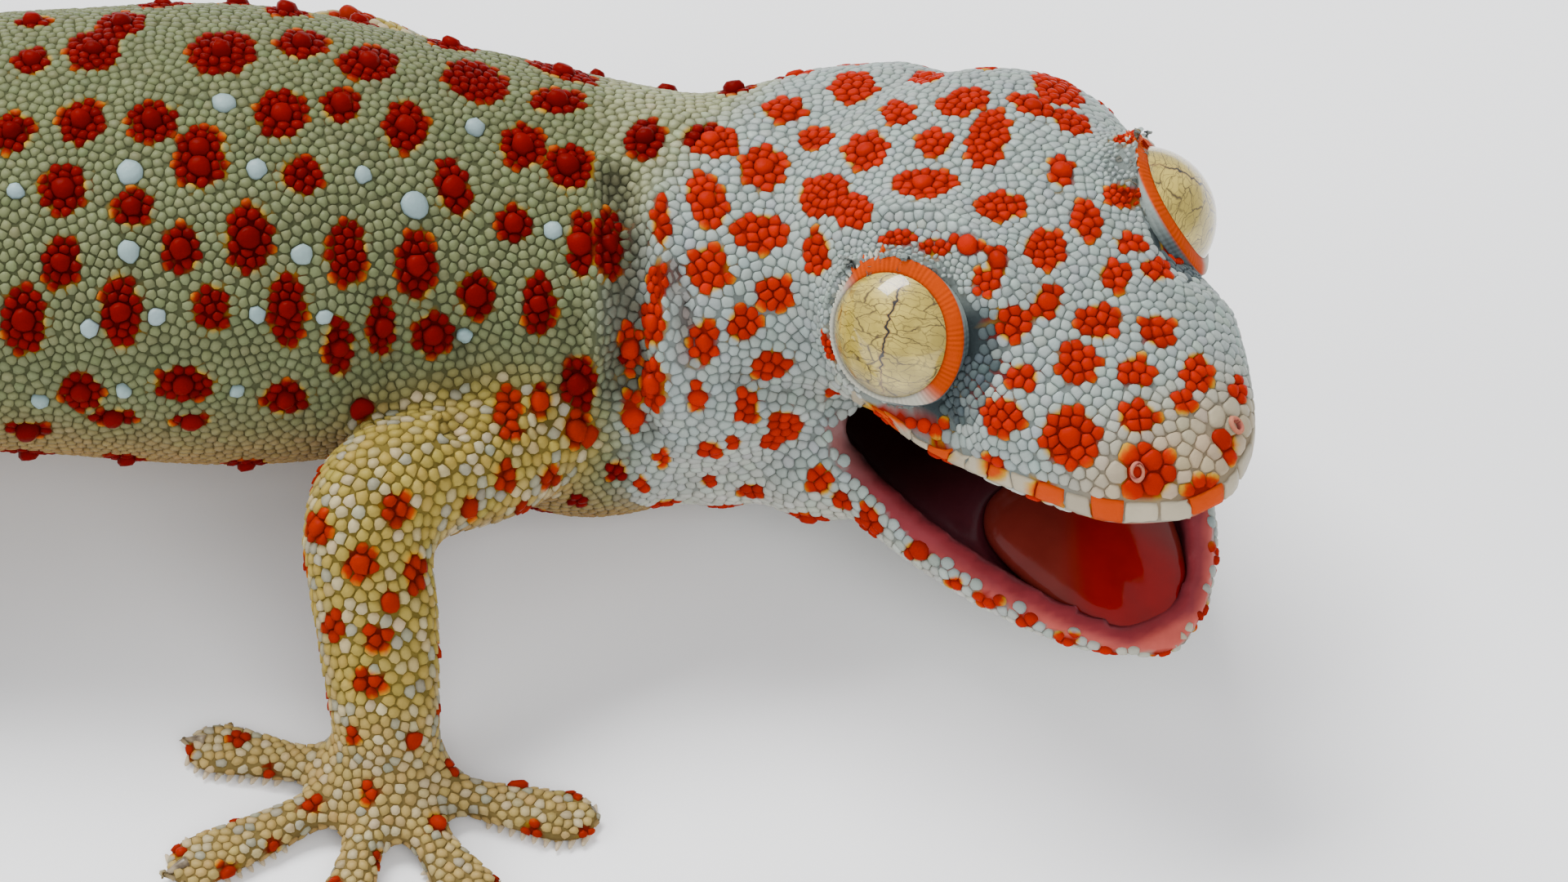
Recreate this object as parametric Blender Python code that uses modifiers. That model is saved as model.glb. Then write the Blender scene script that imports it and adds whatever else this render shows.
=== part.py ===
"""A tokay gecko as a still, life-size model.

The hide is lofted from sections along the spine, the head, the limbs and the toes, and fused
into one body. It is then carved with its mouth, ears, nostrils and eye sockets, parted by thin
cuts into the lengths that a person would name, and set with rows of tubercles.
Lengths are written in millimetres and turned into metres where the meshes are made.
"""
import math
import random

import bmesh
import bpy
from mathutils import Matrix, Vector
from mathutils.bvhtree import BVHTree

OBJECT_NAME = "tokay_gecko"

# Scale and mesh fineness
MM = 0.001
GAP = 0.3
VOXEL = 0.62
RING_SIDES = 28
STEPS_PER_SPAN = 5
SMOOTHING_PASSES = 5
CORE_TRIANGLES = 4000
LIMB_TRIANGLES = 560
THINNING_ATTEMPTS = 12
THINNING_STEP = 30
SHARP_ANGLE = math.radians(40.0)
CAP_LEANS = (math.radians(35.0), math.radians(65.0))
STEEPEST_SIDE = 0.2

# Head: place of the point midway between the eyes, and how it is turned
HEAD_PLACE = Vector((17.1, -11.8, 27.5))
HEAD_YAW = math.radians(-57.0)
HEAD_PITCH = math.radians(2.5)
HEAD_ROLL = math.radians(0.5)

# Skull and upper jaw, from the nape to the snout:
# distance ahead of the eyes, half width, top, lip line
SKULL_SECTIONS = (
    (-19.5, 11.8, 3.6, -10.8),
    (-16.5, 14.4, 5.8, -11.4),
    (-12.5, 15.5, 6.9, -10.2),
    (-8.0, 14.9, 7.2, -8.0),
    (-2.0, 14.0, 7.0, -7.4),
    (4.0, 12.9, 5.8, -7.2),
    (10.0, 10.9, 3.6, -6.8),
    (15.0, 8.6, 1.4, -6.4),
    (18.6, 6.3, -0.6, -6.2),
    (20.7, 3.5, -2.4, -5.9),
)
SKULL_POWERS = (2.3, 8.0)
HEAD_ROUNDS = (1.5, 1.2)
LEAST_HALF_WIDTH = 0.4

# Lower jaw as it lies when shut: distance ahead of the eyes, half width, lip line, underside
JAW_SECTIONS = (
    (-18.0, 13.4, -6.6, -15.6),
    (-12.0, 14.8, -6.8, -16.2),
    (-5.0, 14.5, -7.0, -15.0),
    (3.0, 12.9, -7.1, -12.8),
    (10.0, 10.3, -7.1, -10.9),
    (15.0, 7.4, -7.0, -9.7),
    (17.8, 4.9, -6.9, -8.9),
    (19.2, 2.6, -6.9, -8.4),
)
JAW_POWERS = (4.5, 2.7)
WIDEST_LEVEL = 0.4
JAW_HINGE = Vector((-15.0, 0.0, -7.0))
JAW_SHIFT = Vector((0.8, 0.0, -1.2))
GAPE = math.radians(22.0)

# Mouth: how far the palate and the floor of the jaw are hollowed inside the lips
LIP_THICKNESS = 2.1
PALATE_HEIGHT = 3.0
MOUTH_FLOOR = -10.3
PALATE_POWERS = (2.2, 4.0)
MOUTH_FLOOR_POWERS = (4.0, 2.4)
MOUTH_REAR = -10.5
MOUTH_FRONT_MARGIN = 2.4
MOUTH_OVERLAP = 1.5
PALATE_OVERLAP = 4.0
FLOOR_OVERLAP = 2.0
JAW_THICKNESS = 1.5
MOUTH_BACK_PLACE = Vector((-7.5, 0.0, -8.8))
MOUTH_BACK_SIZE = Vector((7.0, 10.2, 5.0))

# Soft parts of the head, in its frame: cheeks, skin at the corners of the mouth, throat,
# and the fold of the throat on the side that the head turns to
CHEEK_PLACE = Vector((-15.5, 11.6, -6.5))
CHEEK_SIZE = Vector((6.6, 3.9, 6.0))
CORNER_PLACE = Vector((-11.0, 12.4, -9.8))
CORNER_SIZE = Vector((3.4, 1.8, 4.2))
THROAT_PLACE = Vector((-14.0, 0.0, -14.5))
THROAT_SIZE = Vector((10.5, 14.0, 7.0))
THROAT_FOLD_PLACE = Vector((-10.8, -10.8, -16.2))
THROAT_FOLD_SIZE = Vector((8.0, 7.4, 6.4))

# Cut between head and neck, which slants because the head is turned
NECK_CUT_PLACE = Vector((-3.0, 1.5, 19.5))
NECK_CUT_NORMAL = Vector((0.88, -0.46, 0.12))
NECK_CUT_RADIUS = 23.0

# Cuts across the shoulders, waist, vent and tail: place along the spine and cutter radius
SHOULDER_CUT_SHARE = 0.4
SHOULDER_CUT_NORMAL = Vector((1.0, 0.08, 0.0))
SHOULDER_CUT_RADIUS = 20.5
WAIST_STATION = 3
WAIST_CUT_RADIUS = 26.0
VENT_CUT_SHARE = 0.25
VENT_CUT_RADIUS = 15.0
TAIL_CUT_STATIONS = (2, 5)
TAIL_CUT_RADIUS = 9.0
CUTTER_SIDES = 24

# Cut behind the lower jaw, in the head's frame
JAW_CUT_START = Vector((-4.6, 0.0, -9.5))
JAW_CUT_LEAN = math.radians(127.0)
JAW_CUT_LENGTH = 21.0
JAW_CUT_WIDTH = 43.0

# Tongue in the lower jaw's frame: distance ahead of the eyes, half width, top, underside
TONGUE_SECTIONS = (
    (3.4, 5.4, -8.8, -11.0),
    (5.4, 6.8, -7.6, -10.8),
    (8.5, 6.8, -6.8, -10.3),
    (12.0, 5.9, -6.6, -9.7),
    (14.8, 4.6, -6.9, -8.9),
    (16.2, 3.3, -7.2, -8.5),
)
TONGUE_POWERS = (2.2, 2.6)
TONGUE_FINENESS = (2, 12)

# Eyes, their lids and the spines above them
EYE_RADIUS = 5.1
EYE_PLACE = Vector((-0.3, 10.0, 0.6))
EYE_AXIS = Vector((0.42, 0.80, 0.42)).normalized()
EYE_SIDES = 16
EYE_RINGS = 10
ORBIT_SIZE = Vector((7.2, 7.2, 6.0))
ORBIT_DEPTH = 2.4
LID_RADIUS = 4.75
LID_THICKNESS = 1.1
LID_LIFT = 2.3
LID_BEAD_SIDES = 8
LID_STEPS = 28
BROW_SPINES = 6
BROW_SPINE_LENGTH = 1.3
BROW_SPINE_RADIUS = 0.5
BROW_SPINE_INSET = 0.45
BROW_TIP_RADIUS = 0.08
BROW_SPINE_SIDES = 5
BROW_SPINE_LEAN = 0.5
BROW_START = math.radians(-12.0)
BROW_SWEEP = math.radians(84.0)

# Ears and nostrils. An ear's place is how far it is ahead of the eyes and its level, by side:
# the skin on the side that the head turns to is pushed forward.
EARS = {-1.0: (-11.0, -2.0), 1.0: (-15.5, -4.0)}
EAR_SIZE = Vector((0.9, 2.2, 1.8))
EAR_REACH = 60.0
EAR_SIDES = 12
EAR_RINGS = 8
NOSTRIL_PLACE = Vector((18.5, 4.0, -1.7))
NOSTRIL_RADIUS = 0.85
NOSTRIL_SIDES = 8
NOSTRIL_RINGS = 6

# Trunk from the throat to the vent: place, half width, half height
NECK_IN_HEAD = ((Vector((-9.0, 0.0, -6.4)), 10.8, 8.4), (Vector((-16.0, 0.0, -5.8)), 12.8, 10.2))
TRUNK = (
    (Vector((-6.0, -2.6, 18.4)), 14.4, 13.0),
    (Vector((-21.0, 0.3, 19.0)), 15.0, 13.0),
    (Vector((-38.0, -0.2, 21.2)), 18.2, 14.6),
    (Vector((-56.0, 0.0, 21.4)), 17.8, 13.4),
    (Vector((-76.0, 0.5, 20.4)), 17.6, 12.6),
    (Vector((-91.0, 3.0, 18.0)), 14.4, 10.8),
    (Vector((-101.0, 5.5, 16.0)), 11.8, 9.5),
    (Vector((-110.0, 9.0, 13.0)), 9.4, 8.2),
)
TRUNK_FLATNESS = 2.15
THROAT_ROUND = 2.0

# Tail: an arc that lies on the floor
TAIL_LENGTH = 140.0
TAIL_STATIONS = 9
TAIL_START_RADIUS = 7.4
TAIL_TIP_RADIUS = 1.0
TAIL_START_HEADING = math.radians(155.0)
TAIL_TURN = math.radians(118.0)
TAIL_TAPER = 0.9
TAIL_WIDENING = 1.04
TAIL_ROOT_STEP = 0.94
TAIL_ROOT_LIFT = 1.6

# Floor: how far what rests on it is flattened, and the block that cuts it flat
FLOOR_SINK = 0.3
FLOOR_SIZE = Vector((600.0, 400.0, 20.0))
FLOOR_MIDDLE = -100.0

# Chest between the shoulders and the loose skin ahead of it, in the model's frame
CHEST_PLACE = Vector((-14.0, -6.2, 12.0))
CHEST_SIZE = Vector((11.5, 11.0, 9.0))
THROAT_SAG_PLACE = Vector((-5.0, -5.6, 10.9))
THROAT_SAG_SIZE = Vector((9.5, 9.5, 8.0))

# Limbs, by side: joints from the body outwards with the half width there
LIMBS = {
    "arm_right": (
        (Vector((-15.0, -9.0, 15.5)), 6.2),
        (Vector((-20.5, -17.0, 15.8)), 5.0),
        (Vector((-28.6, -23.2, 17.5)), 4.7),
        (Vector((-28.3, -28.5, 10.5)), 4.6),
        (Vector((-27.6, -34.0, 3.8)), 3.9),
    ),
    "arm_left": (
        (Vector((-17.0, 7.0, 15.5)), 6.6),
        (Vector((-24.0, 15.5, 16.5)), 5.6),
        (Vector((-33.5, 21.5, 18.0)), 4.6),
        (Vector((-35.5, 24.5, 10.5)), 4.5),
        (Vector((-37.0, 27.5, 3.6)), 3.6),
    ),
    "leg_right": (
        (Vector((-99.0, -1.0, 15.0)), 7.4),
        (Vector((-93.0, -14.5, 17.0)), 7.2),
        (Vector((-86.0, -27.5, 18.5)), 5.4),
        (Vector((-94.0, -36.5, 11.0)), 5.2),
        (Vector((-101.0, -43.5, 3.8)), 3.8),
    ),
    "leg_left": (
        (Vector((-99.0, 11.0, 15.0)), 7.4),
        (Vector((-94.0, 24.0, 17.0)), 7.2),
        (Vector((-87.0, 37.0, 18.5)), 5.4),
        (Vector((-96.5, 44.5, 11.0)), 5.2),
        (Vector((-105.0, 50.0, 3.8)), 3.8),
    ),
}

LIMB_POWER = 2.0
LIMB_ROUND = 2.0

# Feet: which limb each ends, the way it points, and its side
FEET = {
    "hand_right": ("arm_right", math.radians(255.0), -1.0, 1.0),
    "hand_left": ("arm_left", math.radians(108.0), 1.0, 1.0),
    "foot_right": ("leg_right", math.radians(244.0), -1.0, 1.12),
    "foot_left": ("leg_left", math.radians(112.0), 1.0, 1.12),
}
TOE_ANGLES = tuple(math.radians(angle) for angle in (93.0, 48.0, 3.0, -47.0, -93.0))
TOE_LENGTHS = (15.6, 15.8, 16.8, 17.0, 15.2)
PALM_SIZE = Vector((5.2, 5.0, 2.6))
PALM_SHIFT = 1.2
PALM_LEVEL_SHARE = 0.75
FOOT_SEED_HEIGHT = 1.0

# Each toe from root to tip: share of its length, half width, half height
TOE_PROFILE = (
    (0.10, 1.9, 1.9),
    (0.38, 1.7, 1.6),
    (0.62, 2.5, 1.2),
    (0.84, 3.1, 1.0),
    (0.97, 2.1, 0.8),
)
TOE_POWER = 2.4
TOE_ROUNDS = (0.8, 0.9)
CLAW_LENGTH = 2.2
CLAW_RADIUS = 0.55
CLAW_TIP_RADIUS = 0.1
CLAW_HEIGHT = 1.0
CLAW_ROOT_SHARE = 0.92
CLAW_DROOP = 0.12
CLAW_SIDES = 5

# Tubercles in rows along the back and in whorls round the tail
TUBERCLE_SEED = 11
TUBERCLE_RADIUS = 1.25
TUBERCLE_HEIGHT = 0.85
TUBERCLE_SIDES = 5
TUBERCLE_RINGS = 3
BACK_ROWS = 7
BACK_ROW_SPACING = math.radians(22.0)
BACK_ROW_PITCH = 7.6
TAIL_ROWS = 4
TAIL_ROW_SPACING = math.radians(41.0)
TAIL_WHORL_PITCH = 9.5
ROW_WOBBLE = math.radians(4.0)
PLACE_WOBBLE = 0.8
SIZE_WOBBLE = 0.15
CUT_CLEARANCE = 1.9

# Cut between a leg and its foot: how far down the forearm or shank, and the cutter's radius
WRIST_CUT_SHARE = 0.7
WRIST_CUT_RADIUS = 6.4

# A point inside each of the two parts of the head, in the head's and the shut jaw's frames
HEAD_SEED = Vector((8.0, 0.0, 0.0))
JAW_SEED = Vector((4.0, 10.5, -9.5))

# Finishes: base colour and roughness
HIDE_FINISH = ((0.36, 0.44, 0.46), 0.6)
BODY_FINISH = ((0.30, 0.36, 0.30), 0.65)
LIMB_FINISH = ((0.45, 0.43, 0.26), 0.65)
EYE_FINISH = ((0.42, 0.33, 0.12), 0.15)
TONGUE_FINISH = ((0.45, 0.03, 0.02), 0.25)


def clear_scene():
    """Remove what the file opened with and make the object's own collection."""
    for existing in list(bpy.data.objects):
        bpy.data.objects.remove(existing)
    collection = bpy.data.collections.new(OBJECT_NAME)
    bpy.context.scene.collection.children.link(collection)
    return collection


def finish(name, look):
    """A Principled material with the look's base colour and roughness."""
    colour, roughness = look
    material = bpy.data.materials.new(name)
    material.use_nodes = True
    shader = material.node_tree.nodes["Principled BSDF"]
    shader.inputs["Base Color"].default_value = (*colour, 1.0)
    shader.inputs["Roughness"].default_value = roughness
    shader.inputs["Metallic"].default_value = 0.0
    return material


def head_matrix():
    """The turn and place of the head in the model."""
    turn = (
        Matrix.Rotation(HEAD_YAW, 4, "Z")
        @ Matrix.Rotation(-HEAD_PITCH, 4, "Y")
        @ Matrix.Rotation(HEAD_ROLL, 4, "X")
    )
    return Matrix.Translation(HEAD_PLACE) @ turn


def jaw_matrix():
    """The lower jaw's turn about its hinge, within the head."""
    swing = Matrix.Rotation(GAPE, 4, "Y")
    opened = Matrix.Translation(JAW_HINGE + JAW_SHIFT)
    return head_matrix() @ opened @ swing @ Matrix.Translation(-JAW_HINGE)


def smooth_rows(rows, steps=STEPS_PER_SPAN):
    """Rows of numbers through the given ones, on a Catmull-Rom curve."""
    result = []
    last = len(rows) - 1
    for index in range(last):
        before = rows[max(index - 1, 0)]
        start = rows[index]
        end = rows[index + 1]
        after = rows[min(index + 2, last)]
        for step in range(steps):
            t = step / steps
            row = []
            for a, b, c, d in zip(before, start, end, after):
                slope = (c - a) * t
                bend = (2.0 * a - 5.0 * b + 4.0 * c - d) * t * t
                twist = (3.0 * b - a - 3.0 * c + d) * t * t * t
                row.append(b + 0.5 * (slope + bend + twist))
            result.append(row)
    result.append(list(rows[last]))
    return result


def ring(centre, side, up, half_width, top, bottom, powers, sides=RING_SIDES):
    """One oval section, with its own squareness above and below the centre."""
    points = []
    for index in range(sides):
        angle = math.tau * index / sides
        power = powers[0] if math.sin(angle) > 0.0 else powers[1]
        across = math.copysign(abs(math.cos(angle)) ** (2.0 / power), math.cos(angle))
        rise = math.copysign(abs(math.sin(angle)) ** (2.0 / power), math.sin(angle))
        height = top if rise > 0.0 else bottom
        points.append(centre + side * (half_width * across) + up * (height * rise))
    return points


def loft(rings, round_start=0.0, round_end=0.0):
    """A closed body through the rings, with its ends rounded over the given lengths."""
    rings = list(rings)
    sides = len(rings[0])
    for at_start, length in ((True, round_start), (False, round_end)):
        outer = rings[0] if at_start else rings[-1]
        inner = rings[1] if at_start else rings[-2]
        middle = sum(outer, Vector()) / sides
        along = (middle - sum(inner, Vector()) / sides).normalized()
        for lean in CAP_LEANS:
            cap = [middle + (point - middle) * math.cos(lean) + along * (length * math.sin(lean))
                   for point in outer]
            if length > 0.0:
                rings.insert(0 if at_start else len(rings), cap)
    body = bmesh.new()
    loops = [[body.verts.new(point * MM) for point in points] for points in rings]
    for first, second in zip(loops, loops[1:]):
        for index in range(sides):
            following = (index + 1) % sides
            body.faces.new((first[index], first[following], second[following], second[index]))
    for loop in (loops[0], loops[-1]):
        body.faces.new(loop)
    bmesh.ops.recalc_face_normals(body, faces=body.faces)
    return to_object("loft", body)


def to_object(name, body):
    """An object that holds a bmesh, linked to the scene."""
    mesh = bpy.data.meshes.new(name)
    body.to_mesh(mesh)
    body.free()
    created = bpy.data.objects.new(name, mesh)
    bpy.context.scene.collection.objects.link(created)
    return created


def ball(place, size, sides=24, rings=16):
    """An egg shape: a sphere stretched to the given half sizes, set by a matrix or a point."""
    body = bmesh.new()
    bmesh.ops.create_uvsphere(body, u_segments=sides, v_segments=rings, radius=1.0)
    stretch = Matrix.Diagonal((*(Vector(size) * MM), 1.0))
    where = place if isinstance(place, Matrix) else Matrix.Translation(place)
    rigid = Matrix.Translation(where.translation * MM) @ where.to_3x3().to_4x4()
    bmesh.ops.transform(body, matrix=rigid @ stretch, verts=body.verts)
    return to_object("ball", body)


def aim(place, direction, spin=0.0):
    """A matrix at the place whose Z axis runs along the direction."""
    turn = direction.to_track_quat("Z", "Y").to_matrix().to_4x4()
    return Matrix.Translation(place) @ turn @ Matrix.Rotation(spin, 4, "Z")


def cone(place, direction, base, tip, length, sides):
    """A closed cone or disc that starts at the place and runs along the direction."""
    body = bmesh.new()
    bmesh.ops.create_cone(body, cap_ends=True, segments=sides, radius1=base * MM,
                          radius2=tip * MM, depth=length * MM)
    where = aim(place + direction.normalized() * (length / 2.0), direction)
    rigid = Matrix.Translation(where.translation * MM) @ where.to_3x3().to_4x4()
    bmesh.ops.transform(body, matrix=rigid, verts=body.verts)
    return to_object("cone", body)


def apply_modifiers(target):
    """Make the evaluated mesh the object's own."""
    evaluated = target.evaluated_get(bpy.context.evaluated_depsgraph_get())
    shaped = bpy.data.meshes.new_from_object(evaluated)
    target.modifiers.clear()
    target.data = shaped


def combine(target, pieces, operation):
    """Join the pieces to the target, or carve them from it, in one Boolean, then remove them."""
    group = bpy.data.collections.new("pieces")
    bpy.context.scene.collection.children.link(group)
    for piece in pieces:
        bpy.context.scene.collection.objects.unlink(piece)
        group.objects.link(piece)
    shaping = target.modifiers.new("combine", "BOOLEAN")
    shaping.operation = operation
    shaping.solver = "MANIFOLD"
    shaping.operand_type = "COLLECTION"
    shaping.collection = group
    apply_modifiers(target)
    for piece in pieces:
        bpy.data.objects.remove(piece)
    bpy.data.collections.remove(group)


def fuse(pieces):
    """One closed hide over overlapping bodies."""
    body = bmesh.new()
    for piece in pieces:
        body.from_mesh(piece.data)
        bpy.data.objects.remove(piece)
    hide = to_object("hide", body)
    skin = hide.modifiers.new("skin", "REMESH")
    skin.mode = "VOXEL"
    skin.voxel_size = VOXEL * MM
    even = hide.modifiers.new("even", "SMOOTH")
    even.factor = 0.5
    even.iterations = SMOOTHING_PASSES
    apply_modifiers(hide)
    return hide


def is_closed(mesh):
    """Whether every edge of the mesh lies between exactly two faces."""
    body = bmesh.new()
    body.from_mesh(mesh)
    closed = all(edge.is_manifold for edge in body.edges)
    body.free()
    return closed


def thin_out(target, triangles):
    """Reduce a hide to about the given number of triangles, finest where it bends most."""
    whole = target.data
    whole.calc_loop_triangles()
    for attempt in range(THINNING_ATTEMPTS):
        target.data = whole
        reduce = target.modifiers.new("reduce", "DECIMATE")
        reduce.ratio = (triangles + THINNING_STEP * attempt) / len(whole.loop_triangles)
        reduce.use_collapse_triangulate = True
        apply_modifiers(target)
        if is_closed(target.data):
            return
    raise RuntimeError("the hide did not stay closed when thinned")


def loose_bodies(target):
    """Split an object into its separate closed bodies, largest first."""
    bpy.ops.object.select_all(action="DESELECT")
    bpy.context.view_layer.objects.active = target
    target.select_set(True)
    bpy.ops.mesh.separate(type="LOOSE")
    bodies = list(bpy.context.selected_objects)
    bodies.sort(key=lambda body: len(body.data.polygons), reverse=True)
    return bodies


def keep_largest(target):
    """Drop any scrap, so that the object is one closed body."""
    bodies = loose_bodies(target)
    for scrap in bodies[1:]:
        bpy.data.objects.remove(scrap)
    return bodies[0]


def surface_tree(target):
    """A search tree over the object's faces, in metres."""
    mesh = target.data
    points = [vertex.co for vertex in mesh.vertices]
    return BVHTree.FromPolygons(points, [tuple(face.vertices) for face in mesh.polygons])


def head_loft(sections, matrix, powers, hollow=0.0, fineness=(STEPS_PER_SPAN, RING_SIDES)):
    """A closed body through the head's or jaw's sections, in the frame that the matrix gives."""
    rings = []
    steps, sides = fineness
    for along, half_width, top, bottom in smooth_rows(sections, steps):
        level = bottom + (top - bottom) * WIDEST_LEVEL
        setback = MOUTH_FRONT_MARGIN if hollow > 0.0 else 0.0
        centre = matrix @ Vector((along - setback, 0.0, level))
        side = matrix.to_3x3() @ Vector((0.0, 1.0, 0.0))
        up = matrix.to_3x3() @ Vector((0.0, 0.0, 1.0))
        width = max(half_width - hollow, LEAST_HALF_WIDTH)
        rings.append(ring(centre, side, up, width, top - level, level - bottom, powers, sides))
    return loft(rings, *HEAD_ROUNDS)


def path_loft(landmarks, power, round_start, round_end):
    """A closed body along a path of places with their half widths, tops and undersides."""
    rows = smooth_rows([(*place, width, top, bottom) for place, width, top, bottom in landmarks])
    places = [Vector(row[:3]) for row in rows]
    rings = []
    for index, row in enumerate(rows):
        ahead = places[min(index + 1, len(places) - 1)]
        behind = places[max(index - 1, 0)]
        along = (ahead - behind).normalized()
        side = Vector((0.0, 0.0, 1.0)).cross(along)
        if side.length < STEEPEST_SIDE:
            side = Vector((0.0, 1.0, 0.0)).cross(along)
        side.normalize()
        up = along.cross(side)
        rings.append(ring(places[index], side, up, row[3], row[4], row[5], (power, power)))
    return loft(rings, round_start, round_end)


def tail_landmarks():
    """The tail's places, half widths and half heights, from the vent to the tip."""
    vent = TRUNK[-1][0]
    place = Vector(vent)
    landmarks = []
    step = TAIL_LENGTH / TAIL_STATIONS
    for station in range(1, TAIL_STATIONS + 1):
        share = station / TAIL_STATIONS
        heading = TAIL_START_HEADING + TAIL_TURN * share * share
        radius = TAIL_START_RADIUS + (TAIL_TIP_RADIUS - TAIL_START_RADIUS) * share ** TAIL_TAPER
        flat_step = step if station > 1 else step * TAIL_ROOT_STEP
        place = place + Vector((math.cos(heading), math.sin(heading), 0.0)) * flat_step
        place.z = radius - FLOOR_SINK + (TAIL_ROOT_LIFT if station == 1 else 0.0)
        landmarks.append((Vector(place), radius * TAIL_WIDENING, radius, radius))
    return landmarks


def spine_landmarks():
    """The throat, neck, trunk and tail as one path."""
    into_model = head_matrix()
    neck = [(into_model @ place, width, height, height) for place, width, height in NECK_IN_HEAD]
    trunk = [(place, width, height, height) for place, width, height in TRUNK]
    return neck + trunk + tail_landmarks()


def make_trunk():
    """The neck, body and tail."""
    return path_loft(spine_landmarks(), TRUNK_FLATNESS, THROAT_ROUND, TAIL_TIP_RADIUS)


def make_head_pieces():
    """The skull, jaw, cheeks, lids and brows, each a closed body to be fused."""
    head = head_matrix()
    pieces = [head_loft(SKULL_SECTIONS, head, SKULL_POWERS)]
    pieces.append(head_loft(JAW_SECTIONS, jaw_matrix(), JAW_POWERS))
    pieces.append(ball(head @ Matrix.Translation(THROAT_PLACE), THROAT_SIZE))
    pieces.append(ball(head @ Matrix.Translation(THROAT_FOLD_PLACE), THROAT_FOLD_SIZE))
    for side in (-1.0, 1.0):
        pieces.append(ball(head @ Matrix.Translation(mirrored(CHEEK_PLACE, side)), CHEEK_SIZE))
        pieces.append(ball(head @ Matrix.Translation(mirrored(CORNER_PLACE, side)), CORNER_SIZE))
        eye_place, eye_axis = eye_frame(side)
        pieces.append(ball(aim(eye_place - eye_axis * ORBIT_DEPTH, eye_axis), ORBIT_SIZE))
        pieces.append(make_lid(side))
    return pieces


def mirrored(vector, side):
    """The vector on the right side for -1 and the left side for 1."""
    return Vector((vector.x, vector.y * side, vector.z))


def eye_frame(side):
    """The place and outward axis of an eye, in the model."""
    head = head_matrix()
    place = head @ mirrored(EYE_PLACE, side)
    axis = head.to_3x3() @ mirrored(EYE_AXIS, side)
    return place, axis


def make_lid(side):
    """The raised rim round an eye, a round bead turned about the eye's axis."""
    place, axis = eye_frame(side)
    frame = aim(place + axis * LID_LIFT, axis)
    body = bmesh.new()
    circle = bmesh.ops.create_circle(body, cap_ends=False, segments=LID_BEAD_SIDES,
                                     radius=LID_THICKNESS * MM)
    turn = Matrix.Translation((LID_RADIUS * MM, 0.0, 0.0)) @ Matrix.Rotation(math.pi / 2.0, 4, "X")
    bmesh.ops.transform(body, matrix=turn, verts=circle["verts"])
    bmesh.ops.spin(body, geom=body.verts[:] + body.edges[:], cent=(0.0, 0.0, 0.0),
                   axis=(0.0, 0.0, 1.0), dvec=(0.0, 0.0, 0.0), angle=math.tau, steps=LID_STEPS,
                   use_merge=True, use_normal_flip=False, use_duplicate=False)
    bmesh.ops.recalc_face_normals(body, faces=body.faces)
    rigid = Matrix.Translation(frame.translation * MM) @ frame.to_3x3().to_4x4()
    bmesh.ops.transform(body, matrix=rigid, verts=body.verts)
    return to_object("lid", body)


def make_limb(name):
    """One leg, from inside the body to the wrist or ankle."""
    joints = [(place, width, width, width) for place, width in LIMBS[name]]
    return path_loft(joints, LIMB_POWER, LIMB_ROUND, LIMB_ROUND)


def foot_frame(name):
    """The middle of a palm on the floor, the way it points, its side and its scale."""
    limb, heading, side, scale = FEET[name]
    wrist = LIMBS[limb][-1][0]
    ahead = Vector((math.cos(heading), math.sin(heading), 0.0))
    return Vector((wrist.x, wrist.y, 0.0)) + ahead * PALM_SHIFT, heading, side, scale


def toes(name):
    """Each toe's root, direction and length."""
    centre, heading, side, scale = foot_frame(name)
    for angle, length in zip(TOE_ANGLES, TOE_LENGTHS):
        bearing = heading - side * angle
        ahead = Vector((math.cos(bearing), math.sin(bearing), 0.0))
        yield centre, ahead, length * scale


def make_foot_pieces(name):
    """The palm and the five toes, each with its flat pad and small claw."""
    centre, _, _, scale = foot_frame(name)
    palm = ball(centre + Vector((0.0, 0.0, PALM_SIZE.z * PALM_LEVEL_SHARE)), PALM_SIZE * scale)
    pieces = [palm]
    for root, ahead, length in toes(name):
        landmarks = []
        for share, half_width, half_height in TOE_PROFILE:
            place = root + ahead * (length * share)
            place.z = half_height * scale - FLOOR_SINK
            landmarks.append((place, half_width * scale, half_height * scale, half_height * scale))
        pieces.append(path_loft(landmarks, TOE_POWER, *TOE_ROUNDS))
    return pieces


def make_claws(name):
    """A small curved claw above the tip of every toe but the first."""
    claws = []
    for index, (root, ahead, length) in enumerate(toes(name)):
        if index > 0:
            start = root + ahead * (length * CLAW_ROOT_SHARE) + Vector((0.0, 0.0, CLAW_HEIGHT))
            lean = (ahead - Vector((0.0, 0.0, CLAW_DROOP))).normalized()
            claws.append(cone(start, lean, CLAW_RADIUS, CLAW_TIP_RADIUS, CLAW_LENGTH, CLAW_SIDES))
    return claws


def carve_mouth(hide):
    """Hollow the palate, the floor of the lower jaw and the start of the throat."""
    palate = []
    for along, half_width, _, lip in SKULL_SECTIONS:
        if along >= MOUTH_REAR - PALATE_OVERLAP:
            palate.append((along, half_width, lip + PALATE_HEIGHT, lip - MOUTH_OVERLAP))
    floor = []
    for along, half_width, lip, underside in JAW_SECTIONS:
        if along >= MOUTH_REAR - FLOOR_OVERLAP:
            lowest = max(MOUTH_FLOOR, underside + JAW_THICKNESS)
            floor.append((along, half_width, lip + MOUTH_OVERLAP, lowest))
    inner = [head_loft(palate, head_matrix(), PALATE_POWERS, LIP_THICKNESS)]
    inner.append(head_loft(floor, jaw_matrix(), MOUTH_FLOOR_POWERS, LIP_THICKNESS))
    inner.append(ball(head_matrix() @ Matrix.Translation(MOUTH_BACK_PLACE), MOUTH_BACK_SIZE))
    combine(hide, inner, "DIFFERENCE")


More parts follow.
